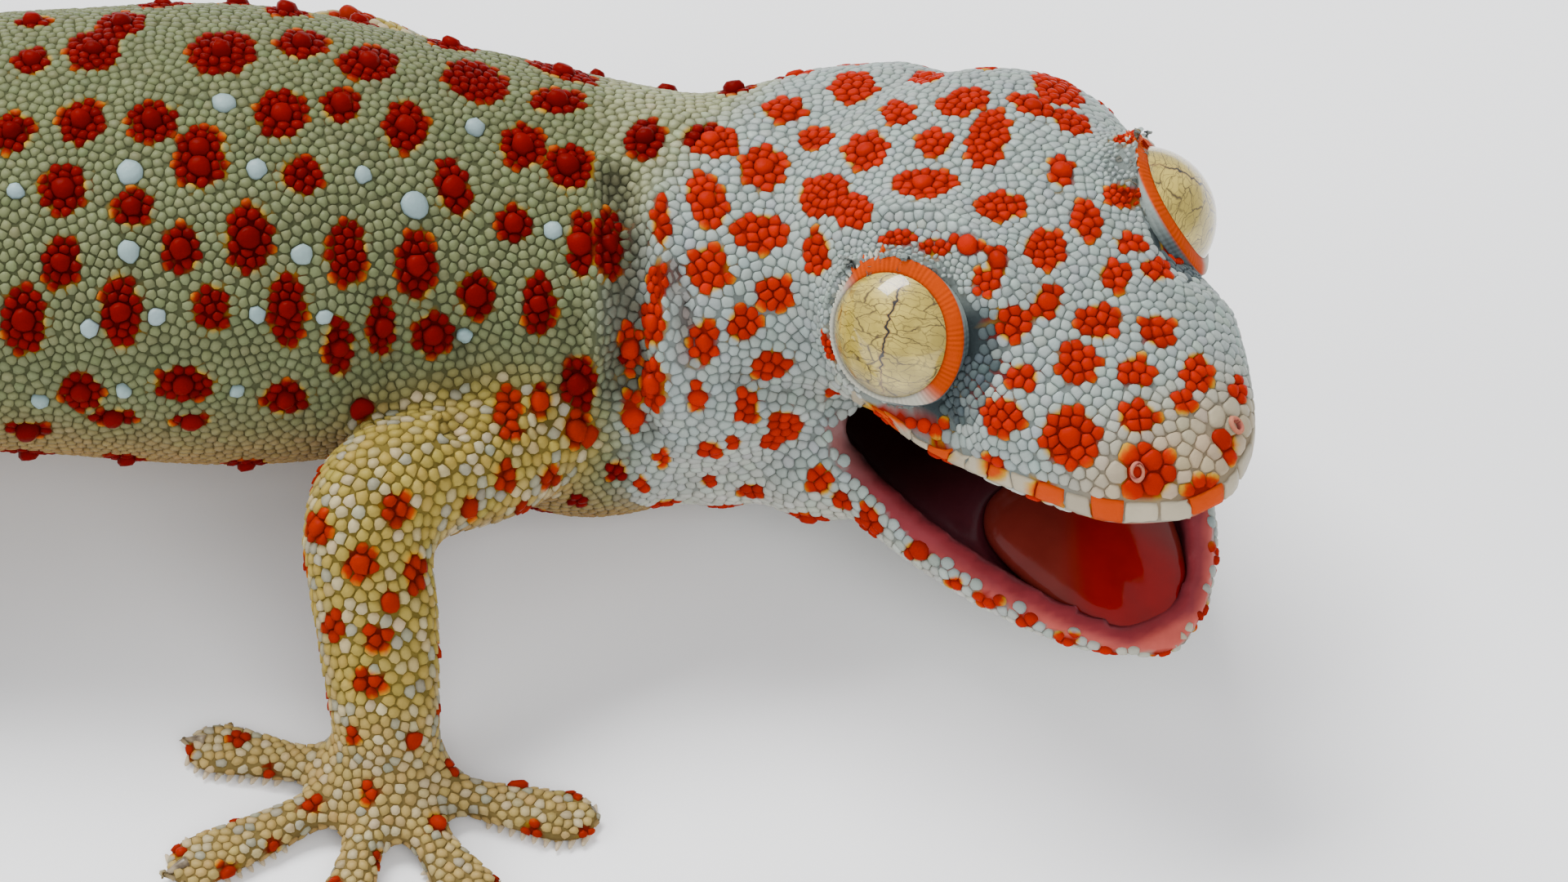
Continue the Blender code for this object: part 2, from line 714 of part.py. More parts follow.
def carve_senses(hide):
    """Cut the ears' cups and the nostrils."""
    head = head_matrix()
    tree = surface_tree(hide)
    cutters = []
    for side, (along, level) in EARS.items():
        outside = head @ Vector((along, side * EAR_REACH, level))
        inwards = head.to_3x3() @ Vector((0.0, -side, 0.0))
        hit, normal, _, _ = tree.ray_cast(outside * MM, inwards)
        cutters.append(ball(aim(hit / MM, normal), EAR_SIZE, EAR_SIDES, EAR_RINGS))
        nostril = head @ Matrix.Translation(mirrored(NOSTRIL_PLACE, side))
        cutters.append(ball(nostril, (NOSTRIL_RADIUS,) * 3, NOSTRIL_SIDES, NOSTRIL_RINGS))
    combine(hide, cutters, "DIFFERENCE")


def carve_sockets(hide):
    """Cut each eye's socket, a gap wider than the eye."""
    sockets = []
    for side in (-1.0, 1.0):
        place, axis = eye_frame(side)
        sockets.append(ball(aim(place, axis), (EYE_RADIUS + GAP,) * 3, EYE_SIDES, EYE_RINGS))
    combine(hide, sockets, "DIFFERENCE")


def carve_floor(hide):
    """Flatten the soles and the tail where they rest."""
    body = bmesh.new()
    bmesh.ops.create_cube(body, size=1.0)
    stretch = Matrix.Diagonal((*(FLOOR_SIZE * MM), 1.0))
    drop = Matrix.Translation((FLOOR_MIDDLE * MM, 0.0, -FLOOR_SIZE.z * MM / 2.0))
    bmesh.ops.transform(body, matrix=drop @ stretch, verts=body.verts)
    combine(hide, [to_object("floor", body)], "DIFFERENCE")


def thin_disc(place, direction, radius):
    """A cutter as thick as the gap, centred on the place."""
    ahead = direction.normalized()
    return cone(place - ahead * (GAP / 2.0), ahead, radius, radius, GAP, CUTTER_SIDES)


def thin_plate(head):
    """The cut behind the lower jaw, from the corners of the mouth down and back to the throat."""
    body = bmesh.new()
    bmesh.ops.create_cube(body, size=1.0)
    size = Matrix.Diagonal((JAW_CUT_LENGTH * MM, JAW_CUT_WIDTH * MM, GAP * MM, 1.0))
    hang = Matrix.Translation((JAW_CUT_LENGTH * MM / 2.0, 0.0, 0.0))
    place = head @ Matrix.Translation(JAW_CUT_START) @ Matrix.Rotation(JAW_CUT_LEAN, 4, "Y")
    rigid = Matrix.Translation(place.translation * MM) @ place.to_3x3().to_4x4()
    bmesh.ops.transform(body, matrix=rigid @ hang @ size, verts=body.verts)
    return to_object("plate", body)


def parting_cuts():
    """The thin cuts between the nodes."""
    head = head_matrix()
    cuts = [thin_disc(NECK_CUT_PLACE, NECK_CUT_NORMAL, NECK_CUT_RADIUS)]
    cuts.append(thin_plate(head))
    spine = [landmark[0] for landmark in spine_landmarks()]
    neck = len(NECK_IN_HEAD)
    shoulder_gate = spine[neck].lerp(spine[neck + 1], SHOULDER_CUT_SHARE)
    cuts.append(thin_disc(shoulder_gate, SHOULDER_CUT_NORMAL, SHOULDER_CUT_RADIUS))
    cuts.append(thin_disc(spine[neck + WAIST_STATION], Vector((1.0, 0.0, 0.0)), WAIST_CUT_RADIUS))
    tail = neck + len(TRUNK)
    vent = spine[tail - 1]
    after_vent = spine[tail]
    cuts.append(thin_disc(vent.lerp(after_vent, VENT_CUT_SHARE), after_vent - vent, VENT_CUT_RADIUS))
    for station in TAIL_CUT_STATIONS:
        place = spine[tail + station]
        cuts.append(thin_disc(place, spine[tail + station + 1] - place, TAIL_CUT_RADIUS))
    return cuts


def node_seeds():
    """A point inside each node of flesh."""
    head = head_matrix()
    jaw = jaw_matrix()
    spine = [landmark[0] for landmark in spine_landmarks()]
    start = len(NECK_IN_HEAD)
    tail = start + len(TRUNK)
    seeds = {
        "head": head @ HEAD_SEED,
        "lower_jaw": jaw @ JAW_SEED,
        "neck": spine[start],
        "torso_front": spine[start + 2],
        "torso_rear": spine[start + 5],
        "tail_base": spine[tail + 1],
        "tail_middle": spine[tail + 4],
        "tail_tip": spine[tail + 7],
    }
    return seeds


def part_hide(hide, cuts, seeds):
    """Cut the hide into its nodes and name each by the seed that it holds."""
    combine(hide, cuts, "DIFFERENCE")
    bodies = loose_bodies(hide)
    nodes = {}
    trees = [(body, surface_tree(body)) for body in bodies]
    for name, seed in seeds.items():
        nearest = min(trees, key=lambda pair: pair[1].find_nearest(seed * MM)[3])[0]
        if nearest in nodes.values():
            raise RuntimeError(f"two seeds fall in one body: {name}")
        nearest.name = name
        nodes[name] = nearest
    for body in bodies:
        if body not in nodes.values():
            print("scrap dropped with", len(body.data.polygons), "faces")
            bpy.data.objects.remove(body)
    return nodes


def grown_copy(target, distance):
    """A copy of the object, larger by the distance all round."""
    copied = bpy.data.objects.new("grown", target.data.copy())
    bpy.context.scene.collection.objects.link(copied)
    swell = copied.modifiers.new("swell", "DISPLACE")
    swell.strength = distance * MM
    swell.mid_level = 0.0
    apply_modifiers(copied)
    return copied


def make_leg_and_foot(foot, core):
    """One limb and its foot, which meet the core and each other face to face."""
    limb = FEET[foot][0]
    joints = LIMBS[limb]
    hide = fuse([make_limb(limb)] + make_foot_pieces(foot))
    thin_out(hide, LIMB_TRIANGLES)
    combine(hide, [grown_copy(core, GAP)], "DIFFERENCE")
    hide = keep_largest(hide)
    carve_floor(hide)
    wrist = joints[-2][0].lerp(joints[-1][0], WRIST_CUT_SHARE)
    cut = thin_disc(wrist, joints[-1][0] - joints[-2][0], WRIST_CUT_RADIUS)
    seeds = {limb: joints[2][0], foot: foot_frame(foot)[0] + Vector((0.0, 0.0, FOOT_SEED_HEIGHT))}
    return part_hide(hide, [cut], seeds)


def make_eye(side):
    """An eyeball whose poles lie on its axis."""
    place, axis = eye_frame(side)
    return ball(aim(place, axis), (EYE_RADIUS,) * 3, EYE_SIDES, EYE_RINGS)


def make_tongue(nodes):
    """The thick tongue, and its bed in the lower jaw a gap wider."""
    tongue = head_loft(TONGUE_SECTIONS, jaw_matrix(), TONGUE_POWERS, fineness=TONGUE_FINENESS)
    bed_sections = [(along, width + GAP, top + GAP, bottom - GAP)
                    for along, width, top, bottom in TONGUE_SECTIONS]
    bed = head_loft(bed_sections, jaw_matrix(), TONGUE_POWERS, fineness=TONGUE_FINENESS)
    combine(nodes["lower_jaw"], [bed], "DIFFERENCE")
    return tongue


def brow_spines(nodes):
    """Short spines along the upper rear rim of each lid, fused to the head."""
    spines = []
    for side in (-1.0, 1.0):
        place, axis = eye_frame(side)
        up = head_matrix().to_3x3() @ Vector((0.0, 0.0, 1.0))
        back = head_matrix().to_3x3() @ Vector((-1.0, 0.0, 0.0))
        up = (up - axis * up.dot(axis)).normalized()
        back = (back - axis * back.dot(axis)).normalized()
        for index in range(BROW_SPINES):
            angle = BROW_START + BROW_SWEEP * index / (BROW_SPINES - 1)
            out = up * math.cos(angle) + back * math.sin(angle)
            root = place + axis * LID_LIFT + out * (LID_RADIUS + BROW_SPINE_INSET)
            lean = (out + axis * BROW_SPINE_LEAN).normalized()
            spines.append(cone(root, lean, BROW_SPINE_RADIUS, BROW_TIP_RADIUS, BROW_SPINE_LENGTH,
                               BROW_SPINE_SIDES))
    combine(nodes["head"], spines, "UNION")


def tubercle(place, normal, radius):
    """A low dome that sits on the hide with its lower half sunk in."""
    return ball(aim(place, normal), (radius, radius, TUBERCLE_HEIGHT), TUBERCLE_SIDES, TUBERCLE_RINGS)


def spine_walk(landmarks, pitch):
    """Places every pitch along the path, each with its side and up directions."""
    rows = smooth_rows([(*place, width, top, bottom) for place, width, top, bottom in landmarks])
    places = [Vector(row[:3]) for row in rows]
    travelled = 0.0
    wanted = pitch / 2.0
    for before, after in zip(places, places[1:]):
        length = (after - before).length
        while wanted <= travelled + length:
            along = (after - before).normalized()
            side = Vector((0.0, 0.0, 1.0)).cross(along).normalized()
            yield before.lerp(after, (wanted - travelled) / length), side, along.cross(side)
            wanted += pitch
        travelled += length


def set_tubercles(nodes, names, landmarks, rows, spacing, pitch):
    """Rows of tubercles on the named nodes, clear of the cuts between them."""
    draw = random.Random(TUBERCLE_SEED)
    middle = (rows - 1) / 2.0
    trees = {name: surface_tree(body) for name, body in nodes.items()}
    placed = {name: [] for name in names}
    for centre, side, up in spine_walk(landmarks, pitch):
        for row in range(rows):
            lean = (row - middle) * spacing + draw.uniform(-ROW_WOBBLE, ROW_WOBBLE)
            out = up * math.cos(lean) + side * math.sin(lean)
            stagger = pitch / 2.0 if row % 2 else 0.0
            shift = up.cross(side) * (stagger + draw.uniform(-PLACE_WOBBLE, PLACE_WOBBLE))
            radius = TUBERCLE_RADIUS * draw.uniform(1.0 - SIZE_WOBBLE, 1.0 + SIZE_WOBBLE)
            for name in names:
                hit, normal, _, _ = trees[name].ray_cast((centre + shift) * MM, out)
                if hit is None:
                    continue
                rest = [tree for other, tree in trees.items() if other != name]
                nearest = min(tree.find_nearest(hit)[3] for tree in rest)
                if nearest > CUT_CLEARANCE * MM:
                    placed[name].append(tubercle(hit / MM, normal, radius))
    for name, domes in placed.items():
        print(name, "tubercles:", len(domes))
        if domes:
            combine(nodes[name], domes, "UNION")


def centre_on_floor(objects):
    """Move the whole model so that its box stands centred on the origin."""
    corners = [vertex.co for target in objects for vertex in target.data.vertices]
    low = Vector(min(corner[axis] for corner in corners) for axis in range(3))
    high = Vector(max(corner[axis] for corner in corners) for axis in range(3))
    move = Matrix.Translation(-Vector(((low.x + high.x) / 2.0, (low.y + high.y) / 2.0, low.z)))
    print("pose frame moved by mm", [round(value / MM, 3) for value in move.translation])
    for target in objects:
        target.data.transform(move)
        target.data.update()


def main():
    """Build every node and put it in the object's collection."""
    collection = clear_scene()
    chest = [ball(CHEST_PLACE, CHEST_SIZE), ball(THROAT_SAG_PLACE, THROAT_SAG_SIZE)]
    core = fuse([make_trunk()] + chest + make_head_pieces())
    carve_mouth(core)
    thin_out(core, CORE_TRIANGLES)
    carve_senses(core)
    carve_sockets(core)
    carve_floor(core)
    nodes = {}
    for foot in FEET:
        nodes.update(make_leg_and_foot(foot, core))
    nodes.update(part_hide(core, parting_cuts(), node_seeds()))
    nodes["tongue"] = make_tongue(nodes)
    brow_spines(nodes)
    for name in FEET:
        combine(nodes[name], make_claws(name), "UNION")
    spine = spine_landmarks()
    trunk_end = len(NECK_IN_HEAD) + len(TRUNK)
    set_tubercles(nodes, ("neck", "torso_front", "torso_rear"), spine[1:trunk_end],
                  BACK_ROWS, BACK_ROW_SPACING, BACK_ROW_PITCH)
    set_tubercles(nodes, ("tail_base", "tail_middle"), spine[trunk_end - 1:],
                  TAIL_ROWS, TAIL_ROW_SPACING, TAIL_WHORL_PITCH)
    nodes = {name: keep_largest(body) for name, body in nodes.items()}
    nodes["eye_right"] = make_eye(-1.0)
    nodes["eye_left"] = make_eye(1.0)
    centre_on_floor(list(nodes.values()))
    looks = {
        "hide_head": finish("hide_head", HIDE_FINISH),
        "hide_body": finish("hide_body", BODY_FINISH),
        "hide_limb": finish("hide_limb", LIMB_FINISH),
        "eye": finish("eye", EYE_FINISH),
        "tongue": finish("tongue", TONGUE_FINISH),
    }
    wears = {"head": "hide_head", "lower_jaw": "hide_head", "neck": "hide_head",
             "tongue": "tongue", "eye_left": "eye", "eye_right": "eye"}
    for name, body in nodes.items():
        look = wears.get(name, "hide_limb" if name in FEET or name in LIMBS else "hide_body")
        body.name = name
        body.data.name = name
        body.data.materials.clear()
        body.data.materials.append(looks[look])
        body.data.shade_smooth()
        body.data.set_sharp_from_angle(angle=SHARP_ANGLE)
        for holder in list(body.users_collection):
            holder.objects.unlink(body)
        collection.objects.link(body)
        body.data.calc_loop_triangles()
        print(name, len(body.data.loop_triangles))


main()
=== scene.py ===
"""A tokay gecko as a life-size still model: one skin, its scales, eyes, lids, mouth and claws.

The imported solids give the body's form and place. The skin lies just inside them, and the scales
are raised on it, each in a cell of its own. Sizes are in millimetres until a mesh is made.
"""

import sys

import logging
import math
from dataclasses import dataclass, field
from enum import Enum

import bmesh
import bpy
import numpy as np
from mathutils import Matrix, Vector
from mathutils.bvhtree import BVHTree
from mathutils.kdtree import KDTree


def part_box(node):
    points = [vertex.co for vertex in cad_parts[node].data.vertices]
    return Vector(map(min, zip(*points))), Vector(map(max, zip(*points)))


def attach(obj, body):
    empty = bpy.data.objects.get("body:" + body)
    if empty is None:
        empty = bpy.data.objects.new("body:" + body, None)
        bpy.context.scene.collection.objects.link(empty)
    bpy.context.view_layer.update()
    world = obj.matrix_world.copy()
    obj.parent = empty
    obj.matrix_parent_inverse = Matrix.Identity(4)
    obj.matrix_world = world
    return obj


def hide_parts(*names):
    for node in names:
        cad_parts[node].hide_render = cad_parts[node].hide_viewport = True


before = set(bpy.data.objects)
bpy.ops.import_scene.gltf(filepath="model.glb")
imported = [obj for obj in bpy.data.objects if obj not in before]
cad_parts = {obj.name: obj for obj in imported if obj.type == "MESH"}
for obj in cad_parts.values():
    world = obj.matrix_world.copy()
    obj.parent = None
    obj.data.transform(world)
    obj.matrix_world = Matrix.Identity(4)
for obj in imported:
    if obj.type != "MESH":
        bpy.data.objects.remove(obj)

Array = np.ndarray
LOG = logging.getLogger("gecko")
MM = 0.001
WELD = 1e-6
TINT = "tint"
BAKE_MAP = "OFBake"
MAP_PATCH = 0.0014
SORT_CELL = 1.1


def unit(rows: Array) -> Array:
    """Scale every row to a length of one.

    Args:
        rows: Vectors, one a row.

    Returns:
        The same directions with unit length.
    """
    return rows / np.maximum(np.linalg.norm(rows, axis=-1, keepdims=True), 1e-9)


def ramp(values: Array, low: float, high: float) -> Array:
    """Rise smoothly from 0 at low to 1 at high.

    Args:
        values: Any numbers.
        low: Where the ramp starts.
        high: Where it ends, which may lie below low.

    Returns:
        Shares from 0 to 1, of the same shape as values.
    """
    share = np.clip((values - low) / (high - low), 0.0, 1.0)
    return share * share * (3.0 - 2.0 * share)


def tint(red: float, green: float, blue: float) -> Array:
    """Turn a colour given on a 0 to 255 scale into linear light.

    Args:
        red: Red, 0 to 255.
        green: Green, 0 to 255.
        blue: Blue, 0 to 255.

    Returns:
        Three linear shares.
    """
    shares = np.array((red, green, blue)) / 255.0
    return np.where(shares <= 0.04045, shares / 12.92, ((shares + 0.055) / 1.055) ** 2.4)


def blend(first: Array, second: Array, share: Array) -> Array:
    """Mix two colours or rows of colours.

    Args:
        first: Colour where the share is 0.
        second: Colour where the share is 1.
        share: One share a row.

    Returns:
        One colour a row.
    """
    weight = np.asarray(share)[..., None]
    return first * (1.0 - weight) + second * weight


HEAD_PALE = tint(140, 150, 145)
SNOUT_PALE = tint(164, 146, 118)
NECK_PALE = tint(140, 142, 106)
BACK_GREEN = tint(104, 109, 76)
TAIL_GREEN = tint(98, 104, 76)
LIMB_OLIVE = tint(152, 132, 62)
LIMB_CREAM = tint(176, 162, 128)
LIMB_GREY = tint(124, 126, 110)
FOOT_OLIVE = tint(158, 134, 78)
BELLY_TAN = tint(138, 110, 66)
CHIN_CREAM = tint(176, 176, 164)
PLATE_WHITE = tint(164, 153, 130)
BEAD_WHITE = tint(136, 158, 158)
SPOT_HEAD = tint(157, 24, 0)
SPOT_BODY = tint(104, 3, 0)
SPOT_LIMB = tint(138, 26, 0)
SPOT_LIP = tint(182, 62, 4)
SPOT_EDGE = tint(186, 78, 0)
SPOT_FRINGE = tint(176, 134, 34)
GUM_PINK = tint(186, 84, 74)
GUM_MAUVE = tint(128, 46, 52)
GUM_PURPLE = tint(78, 30, 38)
CORNER_MAUVE = tint(124, 82, 80)
PAINTED_THROAT_SHADE = tint(22, 2, 2)
LIP_ORANGE = tint(150, 62, 40)
EAR_PINK = tint(120, 74, 66)
LID_SLATE_AND_SHADE = tint(66, 76, 78)
LID_ORANGE = tint(190, 66, 4)
LID_WHITE = tint(182, 180, 164)
PAINTED_FOLD_SHADE = tint(76, 74, 58)
# Painted shade in the grooves between scales: how far the skin and each scale's foot are darkened, by kind of
# hide.
PAINTED_GROOVE_SHADE = np.array((0.58, 0.5, 0.46, 0.46, 0.44, 0.44))


@dataclass(frozen=True)
class HideKind:
    """How the hide looks over a group of nodes.

    Attributes:
        nodes: The nodes that it covers.
        slot: The record's material slot.
        spacing: Distance between neighbouring scales.
        height: How far a scale stands above the skin.
        tilt: How much a scale's far edge is raised.
        rounds: Smoothing rounds for the skin under it.
        above: Ground colour on the upper side.
        below: Ground colour on the underside.
        spot: Colour of the spots.
        sides: Corners of a scale's outline.
    """

    nodes: tuple[str, ...]
    slot: str
    spacing: float
    height: float
    tilt: float
    rounds: int
    above: Array
    below: Array
    spot: Array
    sides: int


HIDES = (
    HideKind(("head", "lower_jaw"), "hide_head", 0.84, 0.2, 0.0, 3,
             HEAD_PALE, CHIN_CREAM, SPOT_HEAD, 12),
    HideKind(("neck",), "hide_head", 0.82, 0.2, 0.1, 12, NECK_PALE, BELLY_TAN, SPOT_BODY, 8),
    HideKind(("torso_front", "torso_rear"), "hide_body", 0.78, 0.19, 0.25, 36,
             BACK_GREEN, BELLY_TAN, SPOT_BODY, 8),
    HideKind(("tail_base", "tail_middle", "tail_tip"), "hide_body", 0.95, 0.2, 0.5, 30,
             TAIL_GREEN, BELLY_TAN, SPOT_BODY, 8),
    HideKind(("arm_right", "arm_left", "leg_right", "leg_left"), "hide_limb", 0.94, 0.21, 0.5, 8,
             LIMB_OLIVE, BELLY_TAN, SPOT_LIMB, 8),
    HideKind(("hand_right", "hand_left", "foot_right", "foot_left"), "hide_limb", 0.78, 0.17, 0.4, 3,
             FOOT_OLIVE, BELLY_TAN, SPOT_LIMB, 8),
)
FLESH = tuple(name for kind in HIDES for name in kind.nodes)
KIND_OF = np.array([index for index, kind in enumerate(HIDES) for _ in kind.nodes])
HEAD, NECK, TRUNK, TAIL, LIMB, HAND = range(len(HIDES))


def of_kinds(name: str) -> Array:
    """Give one of the hide's values for every kind."""
    return np.array([getattr(kind, name) for kind in HIDES])


@dataclass(frozen=True)
class HeadPose:
    """Where the head is and how it is turned.

    Attributes:
        yaw: Turn to the animal's right.
        pitch: Nose up.
        roll: Lean to one side.
        place: The head's origin, from the pose's own origin on the floor.
        eye_middle: Midpoint of the two eyes, in the head's own axes.
        hinge: The jaw's hinge in the head's axes.
        jaw_shift: How far the jaw has slid at the hinge.
        gape: How far the jaw is open.
    """

    yaw: float = math.radians(-57.0)
    pitch: float = math.radians(2.5)
    roll: float = math.radians(0.5)
    place: Vector = Vector((17.1, -11.8, 27.5))
    eye_middle: Vector = Vector((-0.3, 0.0, 0.6))
    hinge: Vector = Vector((-15.0, 0.0, -7.0))
    jaw_shift: Vector = Vector((0.8, 0.0, -1.2))
    gape: float = math.radians(22.0)

    def turn(self) -> Matrix:
        """Give the head's rotation."""
        level = Matrix.Rotation(-self.pitch, 4, "Y") @ Matrix.Rotation(self.roll, 4, "X")
        return Matrix.Rotation(self.yaw, 4, "Z") @ level

    def matrix(self) -> Matrix:
        """Give the matrix from the head's axes to the frame, found from the two eyes."""
        boxes = [corner for name in ("eye_left", "eye_right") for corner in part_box(name)]
        middle = sum(boxes, Vector()) / (len(boxes) * MM)
        return Matrix.Translation(middle - self.turn() @ self.eye_middle) @ self.turn()

    def jaw(self) -> Matrix:
        """Give the matrix from the closed jaw's axes to the frame."""
        opened = Matrix.Translation(self.hinge + self.jaw_shift) @ Matrix.Rotation(self.gape, 4, "Y")
        return self.matrix() @ opened @ Matrix.Translation(-self.hinge)

    def origin(self) -> Vector:
        """Give the pose's origin on the floor."""
        found = self.matrix().translation - self.place
        return Vector((found.x, found.y, 0.0))


def moved(matrix: Matrix, points: Array) -> Array:
    """Apply a matrix to rows of points.

    Args:
        matrix: A 4 by 4 matrix.
        points: Points, one a row.

    Returns:
        The moved points.
    """
    table = np.array(matrix)
    return points @ table[:3, :3].T + table[:3, 3]


@dataclass(frozen=True)
class View:
    """The camera at the photograph's angle.

    Attributes:
        target: The point that it looks at.
        distance: From the camera to the target.
        elevation: Height of the camera above the floor, as an angle.
        lens: Focal length.
        sensor: Sensor width.
        columns: Width of the photograph in pixels.
        rows: Height of the photograph in pixels.
    """

    target: Vector
    distance: float = 480.0
    elevation: float = math.radians(45.0)
    lens: float = 149.0
    sensor: float = 36.0
    columns: int = 1920
    rows: int = 1080

    def axes(self) -> Matrix:
        """Give the camera's rotation, its columns being right, up and backwards."""
        return Matrix.Rotation(math.pi / 2.0 - self.elevation, 3, "X")

    def eye(self) -> Vector:
        """Give the camera's place."""
        return self.target + self.axes().col[2] * self.distance

    def ray(self, column: float, row: float) -> Vector:
        """Give the direction of the ray through a pixel.

        Args:
            column: Pixels from the photograph's left edge.
            row: Pixels from its top edge.

        Returns:
            A unit vector from the camera.
        """
        pitch = self.sensor / self.lens / self.columns
        across = (column - self.columns / 2.0) * pitch
        upwards = (self.rows / 2.0 - row) * pitch
        return (self.axes() @ Vector((across, upwards, -1.0))).normalized()

    def pixel_size(self, point: Vector) -> float:
        """Give the width in millimetres that one pixel covers at a point."""
        depth = (self.eye() - point).dot(self.axes().col[2])
        return depth * self.sensor / self.lens / self.columns

    def pixel(self, points: Array) -> Array:
        """Give the pixel that each point falls on.

        Args:
            points: Points, one a row.

        Returns:
            Column and row of each point.
        """
        local = (points - np.array(self.eye())) @ np.array(self.axes())
        scale = self.lens / self.sensor * self.columns
        across = self.columns / 2.0 - local[:, 0] / local[:, 2] * scale
        down = self.rows / 2.0 + local[:, 1] / local[:, 2] * scale
        return np.stack((across, down), 1)

    def make_camera(self) -> None:
        """Add the camera and make it the scene's own."""
        data = bpy.data.cameras.new("camera")
        data.lens = self.lens
        data.sensor_width = self.sensor
        data.clip_end = 10.0
        camera = bpy.data.objects.new("camera", data)
        camera.matrix_world = Matrix.Translation(self.eye() * MM) @ self.axes().to_4x4()
        bpy.context.scene.collection.objects.link(camera)
        bpy.context.scene.camera = camera


class Net:
    """A surface's points with the edges that join them."""

    def __init__(self, mesh: bpy.types.Mesh) -> None:
        """Read the edges of a mesh."""
        ends = np.empty(len(mesh.edges) * 2, np.int32)
        mesh.edges.foreach_get("vertices", ends)
        self.ends = ends.reshape(-1, 2)
        self.size = len(mesh.vertices)
        self.degree = np.maximum(np.bincount(ends, minlength=self.size), 1)

    def average(self, values: Array, rounds: int = 1) -> Array:
        """Replace each value by the mean of its neighbours'.

        Args:
            values: One number or row for each point.
            rounds: How many times to do it.

        Returns:
            The averaged values.
        """
        first, second = self.ends.T
        rows = values.reshape(self.size, -1).astype(float)
        for _ in range(rounds):
            sums = [
                np.bincount(first, column[second], self.size)
                + np.bincount(second, column[first], self.size)
                for column in rows.T
            ]
            rows = np.stack(sums, 1) / self.degree[:, None]
        return rows.reshape(values.shape)


def mesh_points(mesh: bpy.types.Mesh) -> Array:
    """Give a mesh's points in millimetres, one a row."""
    flat = np.empty(len(mesh.vertices) * 3)
    mesh.vertices.foreach_get("co", flat)
    return flat.reshape(-1, 3) / MM


def mesh_normals(mesh: bpy.types.Mesh) -> Array:
    """Give a mesh's vertex normals, one a row."""
    flat = np.empty(len(mesh.vertices) * 3)
    mesh.vertex_normals.foreach_get("vector", flat)
    return flat.reshape(-1, 3)


def place_points(mesh: bpy.types.Mesh, points: Array) -> None:
    """Move a mesh's points to places in millimetres."""
    mesh.vertices.foreach_set("co", (points * MM).ravel())
    mesh.update()


def set_tint(mesh: bpy.types.Mesh, colours: Array) -> None:
    """Store one linear colour for each vertex.

    Args:
        mesh: The mesh that takes the colours.
        colours: Three shares a row.
    """
    rows = np.ones((len(colours), 4), np.float32)
    rows[:, :3] = colours
    layer = mesh.color_attributes.new(TINT, "FLOAT_COLOR", "POINT")
    layer.data.foreach_set("color", rows.ravel())


def add_piece(mesh: bpy.types.Mesh, name: str, slot: str, *materials: bpy.types.Material) -> bpy.types.Object:
    """Make a finished mesh a piece of the model.

    Args:
        mesh: The mesh, in metres and in place.
        name: The piece's name.
        slot: The record's material slot.
        materials: Its materials in order.

    Returns:
        The new object.
    """
    for material in materials:
        mesh.materials.append(material)
    mesh.polygons.foreach_set("use_smooth", np.ones(len(mesh.polygons), bool))
    piece = bpy.data.objects.new(name, mesh)
    bpy.context.scene.collection.objects.link(piece)
    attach(piece, "root")
    mesh.calc_loop_triangles()
    LOG.info("%s: %d triangles", name, len(mesh.loop_triangles))
    return piece


def finish_bmesh(body: bmesh.types.BMesh, name: str) -> bpy.types.Mesh:
    """Turn a bmesh in millimetres into a mesh in metres and free it.

    Args:
        body: The shape.
        name: The mesh's name.

    Returns:
        The new mesh.
    """
    bmesh.ops.scale(body, vec=(MM, MM, MM), verts=body.verts)
    mesh = bpy.data.meshes.new(name)
    body.to_mesh(mesh)
    body.free()
    return mesh


def applied(piece: bpy.types.Object) -> bpy.types.Mesh:
    """Give a piece's mesh with its modifiers applied, and remove the piece."""
    graph = bpy.context.evaluated_depsgraph_get()
    mesh = bpy.data.meshes.new_from_object(piece.evaluated_get(graph))
    bpy.data.objects.remove(piece)
    return mesh


def welded_copy(node: str) -> bmesh.types.BMesh:
    """Copy a node's loose triangles and weld them into one surface."""
    body = bmesh.new()
    body.from_mesh(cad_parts[node].data)
    bmesh.ops.remove_doubles(body, verts=body.verts, dist=WELD)
    body.normal_update()
    return body


@dataclass(frozen=True)
class EyeFrame:
    """One eyeball's place and the axes of its opening.

    Attributes:
        centre: Middle of the ball.
        axes: Columns: towards the front, towards the top, and out along the eye's axis.
        side: 1 for the animal's left, -1 for its right.
    """

    centre: Vector
    axes: Matrix
    side: int

    def polar(self, points: Array) -> tuple[Array, Array, Array]:
        """Give each point's distance, its angle off the axis and its bearing round it.

        Args:
            points: Points, one a row.

        Returns:
            Distances, angles from the axis and bearings, where 0 is the front and a quarter turn the top.
        """
        local = (points - np.array(self.centre)) @ np.array(self.axes)
        distance = np.linalg.norm(local, axis=1)
        angle = np.arccos(np.clip(local[:, 2] / np.maximum(distance, 1e-9), -1.0, 1.0))
        return distance, angle, np.arctan2(local[:, 1], local[:, 0])

    def point(self, distance: Array, angle: Array, bearing: Array) -> Array:
        """Give the point at a distance, an angle off the axis and a bearing round it.

        Args:
            distance: Distances from the ball's centre.
            angle: Angles off the axis.
            bearing: Bearings round the axis.

        Returns:
            Points, one a row.
        """
        across = np.sin(angle)
        local = np.stack((across * np.cos(bearing), across * np.sin(bearing), np.cos(angle)), -1)
        return np.array(self.centre) + (local * np.asarray(distance)[..., None]) @ np.array(self.axes).T


LID_BREAK = 0.66
LID_FOOT = 0.3
BEAD_ROWS = (0.17, 0.2)


